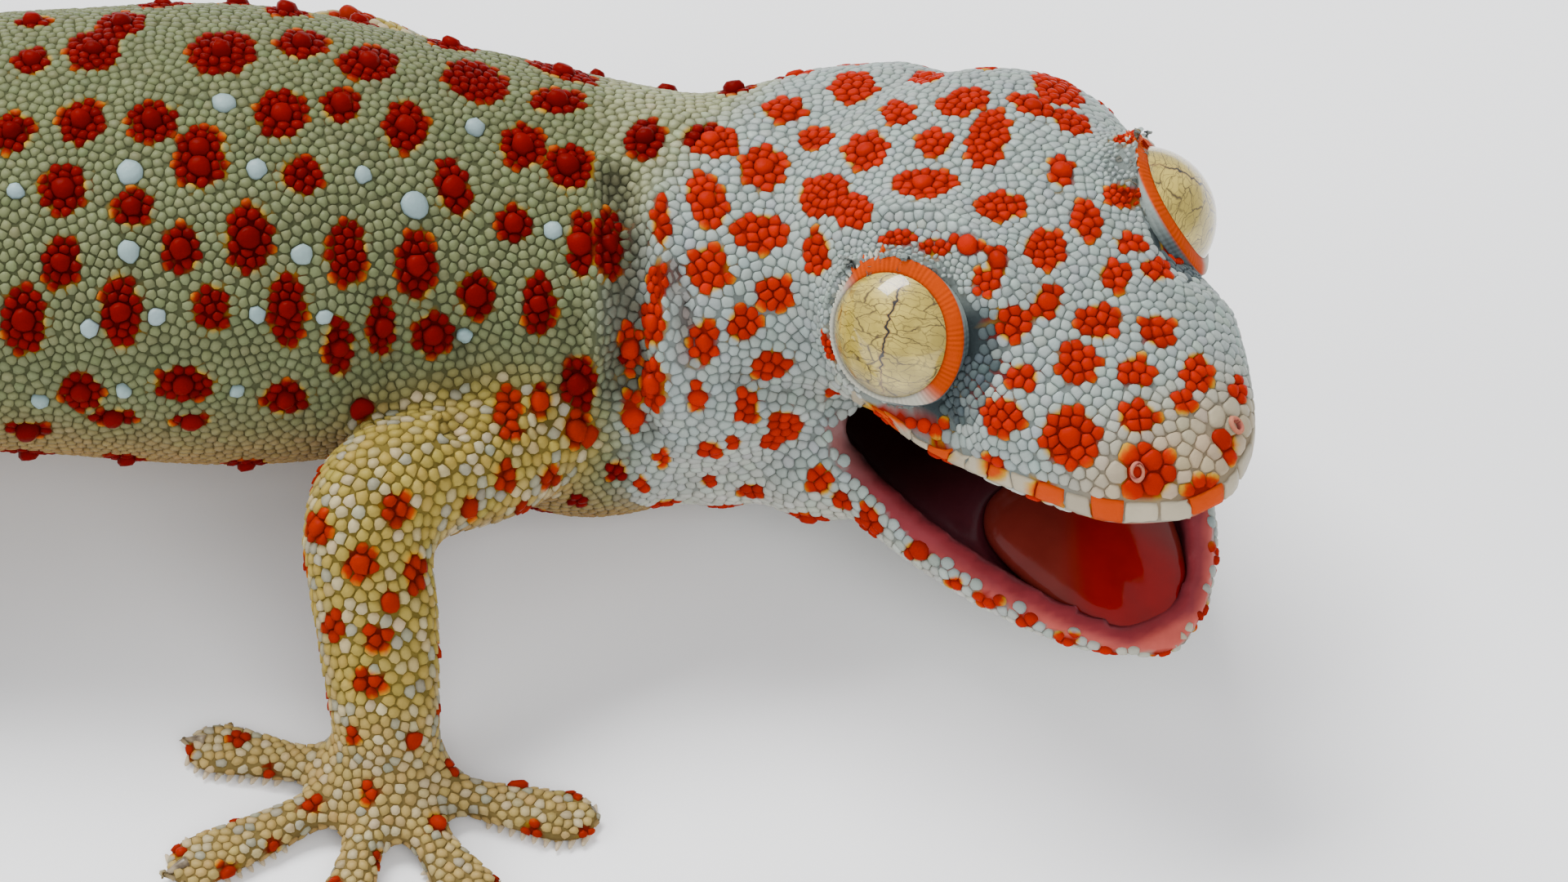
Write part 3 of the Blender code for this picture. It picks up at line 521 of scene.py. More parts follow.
@dataclass
class Eyes:
    """Both eyeballs with their golden iris, and the lids round them.

    Attributes:
        radius: Radius of an eyeball.
        axis: Direction of the lids' opening in the head's axes, for the left eye.
        gaze: Direction of the pupil in the head's axes, for the left eye.
        segments: Segments round an eyeball.
        opening: Angle from the axis to the lid's edge.
        lift_top: How much wider the opening is at its top.
        lift_rear: How much wider it is at its rear.
        band: Width of the lid at its front.
        band_rear: Width of the lid at its rear.
        crest: Height of the lid's crest above the eyeball where it is highest.
        crest_low: Height of the crest at the rear and below.
        crest_lag: Widest angle from the lid's inner edge back to its crest.
        crest_near: Least such angle, at the rear and below.
    """

    radius: float = 5.1
    axis: Vector = Vector((0.42, 0.80, 0.42))
    gaze: Vector = Vector((0.45, 0.62, 0.64))
    segments: int = 96
    opening: float = math.radians(56.0)
    lift_top: float = math.radians(6.0)
    lift_rear: float = math.radians(5.0)
    band: float = math.radians(24.0)
    band_rear: float = math.radians(6.0)
    crest: float = 0.8
    crest_low: float = 0.28
    crest_lag: float = math.radians(9.5)
    crest_near: float = math.radians(2.6)
    frames: dict[int, EyeFrame] = field(default_factory=dict)

    def locate(self, pose: HeadPose) -> None:
        """Find both eyes' centres from their nodes and set up their axes.

        Args:
            pose: The head's pose.
        """
        turn = pose.turn().to_3x3()
        for side, node in ((-1, "eye_right"), (1, "eye_left")):
            low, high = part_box(node)
            outwards = (turn @ Vector((self.axis.x, self.axis.y * side, self.axis.z))).normalized()
            front = turn @ Vector((1.0, 0.0, 0.0))
            front = (front - outwards * front.dot(outwards)).normalized()
            top = outwards.cross(front) * (1 if outwards.cross(front).z > 0 else -1)
            axes = Matrix((front, top, outwards)).transposed()
            self.frames[side] = EyeFrame((low + high) / (2.0 * MM), axes, side)

    def edge(self, bearing: Array) -> Array:
        """Give the angle of the lid's edge at each bearing round the eye.

        Args:
            bearing: Bearings round the axis.

        Returns:
            One angle a bearing.
        """
        top = self.lift_top * np.maximum(0.0, np.sin(bearing)) ** 2
        rear = self.lift_rear * np.maximum(0.0, -np.cos(bearing)) ** 2
        return self.opening + top + rear

    def rim(self, bearing: Array) -> Array:
        """Give the angle at which the lid meets the head at each bearing round the eye."""
        front = ramp(np.cos(bearing + math.radians(8.0)), -0.5, 0.85)
        return self.edge(bearing) + self.band_rear + (self.band - self.band_rear) * front

    def ridge(self, bearing: Array) -> tuple[Array, Array]:
        """Give the height of the lid's crest and its angle off the lid's edge at each bearing."""
        share = ramp(np.cos(bearing - math.radians(52.0)), -0.5, 0.25)
        height = self.crest_low + (self.crest - self.crest_low) * share
        return height, self.crest_near + (self.crest_lag - self.crest_near) * share

    def covered(self, points: Array, margin: float) -> Array:
        """Tell which points lie under the eyeball or its lid.

        Args:
            points: Points, one a row.
            margin: Angle taken off the lid's skirt.

        Returns:
            True for each covered point.
        """
        hidden = np.zeros(len(points), bool)
        for eye in self.frames.values():
            distance, angle, bearing = eye.polar(points)
            hidden |= (distance < self.radius + 2.4) & (angle < self.rim(bearing) - margin)
        return hidden

    def make_ball(self, eye: EyeFrame, pose: HeadPose, material: bpy.types.Material) -> None:
        """Make one eyeball, its map centred on the pupil.

        Args:
            eye: The eye's place and axes.
            pose: The head's pose.
            material: The iris.
        """
        body = bmesh.new()
        rings = self.segments // 2
        bmesh.ops.create_uvsphere(body, u_segments=self.segments, v_segments=rings, radius=self.radius)
        turn = pose.turn().to_3x3()
        outwards = (turn @ Vector((self.gaze.x, self.gaze.y * eye.side, self.gaze.z))).normalized()
        upwards = turn @ Vector((0.02, 0.0, 1.0))
        upwards = (upwards - outwards * upwards.dot(outwards)).normalized()
        across = upwards.cross(outwards)
        axes = Matrix((across, upwards, outwards)).transposed()
        layer = body.loops.layers.uv.new("iris")
        for face in body.faces:
            for loop in face.loops:
                place = loop.vert.co.normalized()
                share = math.acos(max(-1.0, min(1.0, place.z))) / math.pi
                flat = Vector((place.x, place.y))
                flat = flat.normalized() * share if flat.length > 1e-6 else flat
                loop[layer].uv = flat + Vector((0.5, 0.5))
        place = Matrix.Translation(eye.centre) @ axes.to_4x4()
        bmesh.ops.transform(body, matrix=place, verts=body.verts)
        name = "eye_left" if eye.side > 0 else "eye_right"
        piece = add_piece(finish_bmesh(body, "ball_" + name), "ball_" + name, "eye", material)
        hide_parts(name)

    def foot(self, eye: EyeFrame, angle: Array, bearing: Array, skin: "Skin") -> Array:
        """Give how high above the eyeball the skin lies at angles off the axis and bearings.

        Args:
            eye: The eye's place and axes.
            angle: Angles off the axis.
            bearing: Bearings round the axis.
            skin: The skin.

        Returns:
            Heights, averaged a little round the eye.
        """
        ways = eye.point(np.ones(len(angle)), angle, bearing) - np.array(eye.centre)
        found = [skin.tree.ray_cast(eye.centre, Vector(way))[3] for way in ways]
        heights = np.array([LID_FOOT if length is None else length - self.radius for length in found])
        heights = np.clip(heights, -0.3, 2.2)
        order = np.argsort(bearing, kind="stable")
        span = len(bearing) // 24
        ring = heights[order]
        wide = np.concatenate((ring[-span:], ring, ring[:span]))
        smooth = np.convolve(wide, np.ones(2 * span + 1) / (2 * span + 1), "valid")
        heights[order] = smooth
        return heights

    def make_lid(self, eye: EyeFrame, skin: "Skin", material: bpy.types.Material) -> None:
        """Make one lid, a ring that rises from the head and curls in to the eyeball.

        Args:
            eye: The eye's place and axes.
            skin: The skin round it.
            material: The lid's finish.
        """
        body = bmesh.new()
        bmesh.ops.create_grid(body, x_segments=180, y_segments=24, size=0.5)
        verts = list(body.verts)
        flat = np.array([vert.co for vert in verts])
        bearing = flat[:, 0] * 2.0 * math.pi
        share = flat[:, 1] + 0.5
        inner = self.edge(bearing)
        outer_edge = self.rim(bearing) + math.radians(3.0)
        crest, lag = self.ridge(bearing)
        climb = np.clip(share / LID_BREAK, 0.0, 1.0)
        inwards = np.clip((share - LID_BREAK) / (1.0 - LID_BREAK), 0.0, 1.0)
        angle = outer_edge + (inner + lag - outer_edge) * climb - lag * inwards
        front = ramp(np.cos(bearing + math.radians(12.0)), 0.2, 0.8)
        folds = 0.05 * np.sin(climb * 26.0) * front * np.sin(climb * math.pi)
        foot = self.foot(eye, outer_edge, bearing, skin) - 0.12
        outside = foot + (crest - foot) * climb**1.2 + folds
        inside = crest * (1.0 - inwards**1.25) + 0.03 * np.cos(bearing * 84.0) * np.sin(inwards * math.pi)
        height = np.where(share < LID_BREAK, outside, inside)
        places = eye.point(self.radius + height, angle, bearing)
        for vert, place in zip(verts, places):
            vert.co = place
        bmesh.ops.remove_doubles(body, verts=body.verts, dist=0.02)
        bmesh.ops.recalc_face_normals(body, faces=body.faces)
        body.verts.ensure_lookup_table()
        outer = max(body.faces, key=lambda face: (face.calc_center_median() - eye.centre).length)
        if outer.normal.dot(outer.calc_center_median() - eye.centre) < 0.0:
            bmesh.ops.reverse_faces(body, faces=body.faces)
        points = np.array([vert.co for vert in body.verts])
        mesh = finish_bmesh(body, "lid")
        set_tint(mesh, self.lid_colours(eye, points))
        add_piece(mesh, f"lid_{'left' if eye.side > 0 else 'right'}", "hide_head", material)

    def lid_colours(self, eye: EyeFrame, points: Array) -> Array:
        """Colour a lid: slate stripes at the front, their darkness partly the lid's own colour and partly
        painted shade of the lid's fold, an orange rim on top, white behind and below, and painted shade where
        the rim curls in to the eyeball.

        Args:
            eye: The eye's place and axes.
            points: The lid's points.

        Returns:
            One colour a point.
        """
        _, angle, bearing = eye.polar(points)
        lag = angle - self.edge(bearing)
        _, crest = self.ridge(bearing)
        stripes = 0.5 + 0.5 * np.sin(bearing * 88.0)
        front = ramp(np.cos(bearing + math.radians(14.0)), 0.45, 0.8)
        # The slate at the lid's front is partly its own dark colour and partly painted shade of the lid's fold.
        band = blend(HEAD_PALE, blend(LID_SLATE_AND_SHADE, LID_SLATE_AND_SHADE * 2.0, stripes), front)
        warm = ramp(np.cos(bearing - math.radians(66.0)), -0.3, 0.15)
        seams = 0.84 + 0.16 * np.cos(bearing * 84.0)[:, None]
        rim = blend(LID_WHITE, LID_ORANGE, warm) * seams
        # Painted shade: the rim is darkened to half where it curls in to the eyeball.
        painted_rim_shade = ramp(lag, math.radians(1.6), 0.0)
        rim = blend(rim, rim * 0.5, painted_rim_shade)
        return blend(rim, band, ramp(lag - crest, 0.0, math.radians(1.5)))

    def make_beads(self, eye: EyeFrame, material: bpy.types.Material) -> None:
        """Set the row of small beads on a lid's crest and the spines at its upper rear.

        Args:
            eye: The eye's place and axes.
            material: The beads' finish.
        """
        rng = np.random.default_rng(20 + eye.side)
        body = bmesh.new()
        colours = []
        for row, size in enumerate(BEAD_ROWS):
            count = int(2.0 * math.pi * self.radius * math.sin(self.opening) / (size * 1.8))
            for index in range(count):
                bearing = 2.0 * math.pi * (index + 0.5 * row) / count
                if math.cos(bearing - math.radians(196.0)) < 0.3:
                    continue
                spiny = float(ramp(np.array(math.cos(bearing - math.radians(140.0))), 0.75, 0.96))
                crest, lag = (float(part[0]) for part in self.ridge(np.array([bearing])))
                angle = self.edge(np.array([bearing]))[0] + lag + math.radians(1.0 + 2.8 * row)
                lift = self.radius + crest - size * 0.5
                place = Vector(eye.point(np.array([lift]), np.array([angle]), np.array([bearing]))[0])
                outwards = (place - eye.centre).normalized()
                sideways = Vector(eye.axes.col[2]) - outwards * outwards.dot(eye.axes.col[2])
                lean = (outwards - sideways.normalized() * 0.5 * spiny).normalized()
                width = size * rng.uniform(0.85, 1.1)
                tall = width * (0.8 + 2.6 * spiny * rng.uniform(0.4, 1.1))
                turn = lean.to_track_quat("Z", "Y").to_matrix().to_4x4()
                matrix = Matrix.Translation(place) @ turn @ Matrix.Diagonal((width, width, tall, 1.0))
                made = bmesh.ops.create_icosphere(body, subdivisions=1, radius=1.0, matrix=matrix)
                warm = math.cos(bearing - math.radians(62.0)) > 0.0
                shade = LID_ORANGE if warm and rng.random() < 0.7 else LID_WHITE
                colours += [shade * rng.uniform(0.88, 1.1)] * len(made["verts"])
        mesh = finish_bmesh(body, "lid_beads")
        set_tint(mesh, np.array(colours))
        add_piece(mesh, f"lid_beads_{'left' if eye.side > 0 else 'right'}", "hide_head", material)


UPPER_LIP = (
    (-8.0, 14.9, -8.0), (-2.0, 14.0, -7.4), (4.0, 12.9, -7.2), (10.0, 10.9, -6.8),
    (15.0, 8.6, -6.4), (18.6, 6.3, -6.2), (20.7, 3.5, -5.9), (21.6, 0.0, -5.8),
)
LOWER_LIP = (
    (-12.0, 14.8, -6.8), (-5.0, 14.5, -7.0), (3.0, 12.9, -7.1), (10.0, 10.3, -7.1),
    (15.0, 7.4, -7.0), (17.8, 4.9, -6.9), (19.2, 2.6, -6.9), (19.9, 0.0, -6.9),
)


@dataclass
class Mouth:
    """The lines of the lips and the hollow between them.

    Attributes:
        pose: The head's pose.
        rear: Rearmost reach of the hollow in the head's axes.
        gum: Width of the pink band inside the lips.
    """

    pose: HeadPose
    rear: float = -13.5
    gum: float = 1.3

    def width(self, along: Array) -> Array:
        """Give the upper lip's half width at places along the head."""
        table = np.array(UPPER_LIP)
        return np.interp(along, table[:, 0], table[:, 1])

    def inside(self, points: Array, normals: Array) -> Array:
        """Tell which points of the skin line the open mouth.

        Args:
            points: The skin's points.
            normals: Their normals.

        Returns:
            True for each point inside.
        """
        back = self.pose.matrix().inverted()
        local = moved(back, points)
        facing = normals @ np.array(back.to_3x3()).T
        slope = math.tan(self.pose.gape / 2.0)
        middle = local * 0.0
        middle[:, 0] = np.clip(local[:, 0] - 1.0, self.rear, 16.0)
        middle[:, 2] = -7.6 - slope * (middle[:, 0] - self.pose.hinge.x)
        towards = unit(middle - local)
        level = np.abs(middle[:, 2] - local[:, 2])
        reach = (np.abs(local[:, 1]) < self.width(local[:, 0]) + 0.6) & (local[:, 0] > self.rear)
        inner = reach & (np.sum(facing * towards, axis=1) > 0.25) & (level < 14.0)
        jaw = self.pose.jaw().inverted()
        lower = moved(jaw, points)
        upright = normals @ np.array(jaw.to_3x3()).T[:, 2]
        rim = (self.inset(lower) > 0.45) & (np.abs(lower[:, 2] + 7.2) < 1.6) & (lower[:, 0] > -9.0)
        return inner | (rim & (upright > 0.1))

    @staticmethod
    def inset(lower: Array) -> Array:
        """Give how far points in the jaw's axes lie inside the lower lip's line."""
        table = np.array(LOWER_LIP)
        edge = np.interp(lower[:, 0], table[:, 0], table[:, 1])
        return np.minimum(edge - np.abs(lower[:, 1]), 19.9 - lower[:, 0])

    def lining(self, points: Array) -> Array:
        """Colour the mouth's lining: pink gums, purple walls, and painted shade in the throat and towards the
        rear of the roof.

        Args:
            points: Points of the lining.

        Returns:
            One colour a point.
        """
        lower = moved(self.pose.jaw().inverted(), points)
        inset = self.inset(lower)
        drop = np.maximum(0.0, -7.0 - lower[:, 2])
        walls = blend(GUM_PINK, GUM_MAUVE, ramp(inset + drop, self.gum, self.gum + 0.9))
        walls = blend(walls, GUM_PURPLE, ramp(inset + drop, 2.6, 4.4))
        head = moved(self.pose.matrix().inverted(), points)
        # Painted shade: the walls fall to near black towards the rear, deep in the throat.
        throat_shade = ramp(head[:, 0], 5.0, -4.0) * ramp(inset + drop, 1.6, 3.4)
        walls = blend(walls, CORNER_MAUVE, ramp(lower[:, 0], 0.0, -6.0))
        colour = blend(walls, PAINTED_THROAT_SHADE, throat_shade)
        upper = ramp(lower[:, 2], -5.0, -3.0)
        # Painted shade: the roof darkens towards the rear, under the upper jaw.
        roof = blend(LIP_ORANGE, PAINTED_THROAT_SHADE, ramp(head[:, 0], 15.0, 5.0))
        return blend(colour, roof, upper)


@dataclass(frozen=True)
class Fold:
    """A fold or a slit drawn on the skin.

    Attributes:
        pixels: Its course in the photograph.
        width: Half width of its profile.
        height: How far it stands out, below 0 for a groove.
        shade: How far the colour falls to the painted shade in the fold.
    """

    pixels: tuple[tuple[float, float], ...]
    width: float
    height: float
    shade: float = 0.0

    def distance(self, points: Array, skin: BVHTree, view: View) -> Array:
        """Give each point's distance from the fold's course on the skin.

        Args:
            points: Points, one a row.
            skin: The skin's surface.
            view: The camera.

        Returns:
            Distances, one a point.
        """
        stops = []
        for column, row in self.pixels:
            hit = skin.ray_cast(view.eye(), view.ray(column, row))[0]
            if hit is not None:
                stops.append(np.array(hit))
        nearest = np.full(len(points), 1e3)
        for start, end in zip(stops, stops[1:]):
            course = end - start
            share = np.clip((points - start) @ course / max(course @ course, 1e-9), 0.0, 1.0)
            gap = np.linalg.norm(points - start - share[:, None] * course, axis=1)
            nearest = np.minimum(nearest, gap)
        return nearest


FOLDS = (
    Fold(((752, 215), (764, 300), (768, 390), (762, 480)), 1.1, -1.7, 0.85),
    Fold(((735, 200), (742, 330), (735, 430)), 1.2, 0.9),
    Fold(((782, 285), (787, 380), (782, 470), (792, 540)), 0.8, -0.8, 0.45),
    Fold(((802, 240), (808, 380), (802, 500)), 1.4, 0.7),
    Fold(((1006, 486), (1012, 530), (1024, 580)), 0.7, 0.6),
    Fold(((566, 425), (556, 520)), 0.8, -0.8, 0.3),
    Fold(((548, 430), (540, 510)), 0.7, 0.5),
    Fold(((700, 400), (690, 470), (668, 520)), 0.9, -0.6, 0.2),
    Fold(((468, 360), (478, 420), (476, 490)), 0.7, -0.45, 0.2),
    Fold(((430, 420), (436, 500)), 0.7, -0.4, 0.15),
    Fold(((1048, 268), (1100, 256), (1160, 268), (1212, 306), (1236, 352)), 2.6, 0.8),
    Fold(((905, 470), (960, 490), (1002, 490)), 0.9, -0.6, 0.3),
    Fold(((1084, 262), (1130, 262), (1180, 286), (1222, 322), (1236, 356)), 1.1, 0.55),
    Fold(((1020, 505), (1080, 522), (1160, 520), (1205, 490)), 0.9, -0.35),
)
EAR_SLIT = Fold(((828, 330), (834, 362), (843, 403), (845, 444)), 0.42, -1.1, 1.0)


@dataclass
class Skin:
    """The one skin over all the flesh, just inside the solids.

    Attributes:
        swell: How far the nodes are swelled to close the cuts between them.
        voxel: Size of the skin's cells.
        depth: How far it lies inside the solids.
        sole: Height under which the soles carry no scales.
        nostril: Place of the left nostril in the head's axes.
        nostril_bare: Radius round a nostril that stays clear of scales.
    """

    swell: float = 0.22
    voxel: float = 0.65
    depth: float = 0.3
    sole: float = 0.5
    nostril: Vector = Vector((18.5, 4.0, -1.7))
    nostril_bare: float = 0.62
    nostrils: list[tuple[Vector, Vector]] = field(default_factory=list)

    def gather(self) -> bpy.types.Mesh:
        """Swell and join the flesh nodes and wrap them in one surface."""
        body = bmesh.new()
        for name in FLESH:
            piece = welded_copy(name)
            for vert in piece.verts:
                vert.co += vert.normal * self.swell * MM
            scrap = bpy.data.meshes.new(name)
            piece.to_mesh(scrap)
            piece.free()
            body.from_mesh(scrap)
            bpy.data.meshes.remove(scrap)
        mesh = bpy.data.meshes.new("skin")
        body.to_mesh(mesh)
        body.free()
        wrap = bpy.data.objects.new("skin", mesh)
        bpy.context.scene.collection.objects.link(wrap)
        modifier = wrap.modifiers.new("wrap", "REMESH")
        modifier.mode = "VOXEL"
        modifier.voxel_size = self.voxel * MM
        return self.largest(applied(wrap))

    @staticmethod
    def largest(mesh: bpy.types.Mesh) -> bpy.types.Mesh:
        """Keep only the largest connected surface of a mesh.

        Args:
            mesh: The mesh, which is changed.

        Returns:
            The same mesh.
        """
        body = bmesh.new()
        body.from_mesh(mesh)
        seen: set[int] = set()
        best: list[bmesh.types.BMVert] = []
        for start in body.verts:
            if start.index in seen:
                continue
            seen.add(start.index)
            group = [start]
            for vert in group:
                for edge in vert.link_edges:
                    other = edge.other_vert(vert)
                    if other.index not in seen:
                        seen.add(other.index)
                        group.append(other)
            best = max(best, group, key=len)
        kept = {vert.index for vert in best}
        scraps = [vert for vert in body.verts if vert.index not in kept]
        bmesh.ops.delete(body, geom=scraps, context="VERTS")
        body.to_mesh(mesh)
        body.free()
        mesh.update()
        return mesh

    def label(self) -> None:
        """Find the node that each point of the skin covers."""
        corners: list[Vector] = []
        faces: list[tuple[int, ...]] = []
        owners: list[int] = []
        for index, name in enumerate(FLESH):
            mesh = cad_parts[name].data
            base = len(corners)
            corners += [vert.co / MM for vert in mesh.vertices]
            faces += [tuple(base + corner for corner in face.vertices) for face in mesh.polygons]
            owners += [index] * len(mesh.polygons)
        tree = BVHTree.FromPolygons(corners, faces)
        self.node = np.array([owners[tree.find_nearest(Vector(point))[2]] for point in self.points])
        self.kind = KIND_OF[self.node]

    def relax(self, eyes: Eyes) -> None:
        """Smooth the skin, most where the solids' tubercles have to melt away.

        Args:
            eyes: The eyes, already located.
        """
        rounds = of_kinds("rounds")[self.kind]
        rounds = self.net.average(rounds, 10)
        for step in range(int(rounds.max())):
            weight = 0.5 * np.clip(rounds - step, 0.0, 1.0)[:, None]
            self.points += weight * (self.net.average(self.points) - self.points)
        self.tuck(eyes)

    def tuck(self, eyes: Eyes) -> None:
        """Draw the skin in under the eyeballs.

        Args:
            eyes: The eyes, already located.
        """
        for eye in eyes.frames.values():
            distance, angle, bearing = eye.polar(self.points)
            near = ramp(distance, eyes.radius + 5.2, eyes.radius + 4.4)
            reach = eyes.rim(bearing) - math.radians(1.0)
            inner = eyes.edge(bearing) + math.radians(1.0)
            share = (angle - inner) / np.maximum(reach - inner, math.radians(1.0))
            under = ramp(share, 1.0, 0.3) * near
            target = np.minimum(distance, eyes.radius - 0.35)
            self.points = self.points + under[:, None] * (eye.point(target, angle, bearing) - self.points)

    def refresh(self) -> None:
        """Put the points into the mesh, and work out the normals and the surface to cast rays at."""
        place_points(self.mesh, self.points)
        self.normals = mesh_normals(self.mesh)
        self.tree = BVHTree.FromPolygons(self.points.tolist(), self.faces.tolist())

    def fold(self, view: View) -> None:
        """Raise the folds, sink the ear's slit, and set how much painted shade falls in each fold.

        Args:
            view: The camera.
        """
        self.dark = np.zeros(len(self.points))
        self.ear = np.zeros(len(self.points))
        shift = np.zeros(len(self.points))
        for fold in (*FOLDS, EAR_SLIT):
            profile = np.exp(-((fold.distance(self.points, self.tree, view) / fold.width) ** 2))
            shift += fold.height * profile
            if fold is EAR_SLIT:
                self.ear = profile
            else:
                self.dark = np.maximum(self.dark, fold.shade * profile)
        self.points += shift[:, None] * self.normals

    def strip(self, mouth: Mouth, eyes: Eyes, pose: HeadPose) -> None:
        """Find where the skin carries no scales."""
        faces_mouth = mouth.inside(self.points, self.normals) & (self.kind == HEAD)
        self.lining = self.net.average(faces_mouth.astype(float), 2)
        bare = faces_mouth | eyes.covered(self.points, math.radians(3.0)) | (self.ear > 0.5)
        bare |= (self.points[:, 2] < self.sole) & (self.normals[:, 2] < -0.3)
        for side in (-1, 1):
            outside = pose.matrix() @ Vector((self.nostril.x, self.nostril.y * side, self.nostril.z))
            gap = np.linalg.norm(self.points - np.array(outside), axis=1)
            normal = Vector(unit(self.normals[(gap > 1.1) & (gap < 2.2)].mean(0)))
            rim = Vector(self.points[(gap > 1.0) & (gap < 1.6)].mean(0))
            self.nostrils.append((rim, normal))
            bare |= gap < self.nostril_bare
        self.bare = self.net.average(bare.astype(float), 1)

    def sink(self) -> None:
        """Take the skin in by what the nodes were swelled and by the coat's depth."""
        depth = self.swell + self.depth * (1.0 - np.clip(self.lining * 1.5, 0.0, 1.0))
        self.points -= self.net.average(depth, 2)[:, None] * self.normals

    def build(self, view: View, pose: HeadPose, mouth: Mouth, eyes: Eyes) -> None:
        """Make the skin's surface and its labels.

        Args:
            view: The camera.
            pose: The head's pose.
            mouth: The mouth's lines.
            eyes: The eyes, already located.
        """
        self.mesh = self.gather()
        self.points = mesh_points(self.mesh)
        flat = np.empty(len(self.mesh.polygons) * 4, np.int32)
        self.mesh.polygons.foreach_get("vertices", flat)
        self.faces = flat.reshape(-1, 4)
        self.net = Net(self.mesh)
        self.label()
        self.relax(eyes)
        self.refresh()
        self.fold(view)
        self.refresh()
        self.strip(mouth, eyes, pose)
        self.sink()
        self.tuck(eyes)
        self.refresh()
        LOG.info("skin: %d points", len(self.points))

    def ground(self, pose: HeadPose, eyes: Eyes) -> Array:
        """Give the hide's ground colour at each point of the skin, with painted shade in the folds and under the
        front of each lid.

        Args:
            pose: The head's pose.
            eyes: The eyes, already located.

        Returns:
            One colour a point.
        """
        above = of_kinds("above")[self.kind]
        below = of_kinds("below")[self.kind]
        above = self.net.average(above, 8)
        local = moved(pose.matrix().inverted(), self.points)
        snout = ramp(local[:, 0], 13.0, 19.5) * (self.kind == HEAD)
        above = blend(above, SNOUT_PALE, snout)
        chin = self.node == FLESH.index("lower_jaw")
        under = np.where(chin, ramp(self.normals[:, 2], 0.3, -0.5), ramp(self.normals[:, 2], 0.1, -0.7))
        colour = blend(above, below, self.net.average(under, 3))
        # Painted shade in the folds.
        colour = blend(colour, PAINTED_FOLD_SHADE, self.dark)
        for eye in eyes.frames.values():
            distance, angle, bearing = eye.polar(self.points)
            # Painted shade: under the front of each lid's skirt the skin takes the lid's slate, partly dark skin
            # and partly shade under the lid.
            slate = ramp(angle - eyes.rim(bearing), 0.0, math.radians(-1.5)) * ramp(np.cos(bearing), 0.5, 0.8)
            colour = blend(colour, LID_SLATE_AND_SHADE, slate * ramp(distance, eyes.radius + 3.2, eyes.radius + 2.4))
        return blend(colour, EAR_PINK, 0.45 * self.ear)

    def dress(self, colours: Array, mouth: Mouth, *materials: bpy.types.Material) -> None:
        """Colour the skin and make it a piece that stands for all the flesh.

        Args:
            colours: The marked colour at each point.
            mouth: The mouth's lines.
            materials: The hide's groove finish and the wet lining.
        """
        wet = ramp(self.lining, 0.3, 0.7)
        # Painted shade: the skin between the scales is darkened by kind of hide.
        grooves = self.net.average(PAINTED_GROOVE_SHADE[self.kind], 6)[:, None]
        set_tint(self.mesh, blend(colours * grooves, mouth.lining(self.points), wet))
        piece = add_piece(self.mesh, "skin", "hide_body", *materials)
        inner = self.lining[self.faces].mean(1) > 0.5
        self.mesh.polygons.foreach_set("material_index", inner.astype(np.int32))
        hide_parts(*FLESH)


TRUNK_SPOTS = (
    (40, 75, 25, 20), (115, 62, 35, 32), (272, 65, 42, 32), (370, 55, 32, 22), (452, 78, 38, 25),
    (582, 100, 42, 28, -20), (683, 125, 35, 18), (15, 163, 28, 28), (100, 150, 30, 32), (187, 150, 32, 28),
    (345, 140, 32, 36), (418, 130, 25, 25), (497, 155, 28, 38), (245, 205, 32, 28), (370, 215, 28, 25),
    (640, 180, 28, 32), (697, 205, 30, 32), (78, 232, 30, 35), (163, 255, 25, 25), (555, 230, 22, 40, 20),
    (630, 275, 22, 25), (75, 322, 25, 35), (222, 305, 25, 32), (305, 292, 30, 45), (425, 310, 25, 42),
    (510, 325, 25, 45), (583, 362, 22, 30), (660, 372, 22, 40), (30, 392, 28, 45), (148, 382, 26, 48),
    (260, 378, 24, 30), (352, 378, 24, 48), (415, 425, 18, 38), (468, 400, 18, 38), (530, 410, 26, 28),
    (100, 480, 28, 25), (225, 470, 38, 22), (350, 487, 30, 22), (445, 500, 14, 18), (712, 300, 18, 45),
    (660, 490, 14, 20), (710, 470, 22, 38), (705, 525, 18, 22), (620, 500, 18, 28), (35, 525, 30, 10),
    (140, 510, 30, 10), (235, 515, 25, 10), (245, 182, 30, 30), (150, 30, 30, 20), (40, 28, 25, 8),
    (268, 6, 40, 10), (360, 12, 28, 9), (430, 22, 28, 10), (578, 48, 48, 12, -15), (690, 90, 46, 10, -18),
)
ARM_SPOTS = (
    (390, 645, 18, 22), (485, 622, 20, 22), (442, 690, 22, 22), (508, 700, 14, 28), (478, 735, 10, 14),
    (408, 765, 14, 20), (462, 780, 18, 18), (450, 835, 25, 16), (575, 620, 12, 18), (620, 582, 16, 18),
)
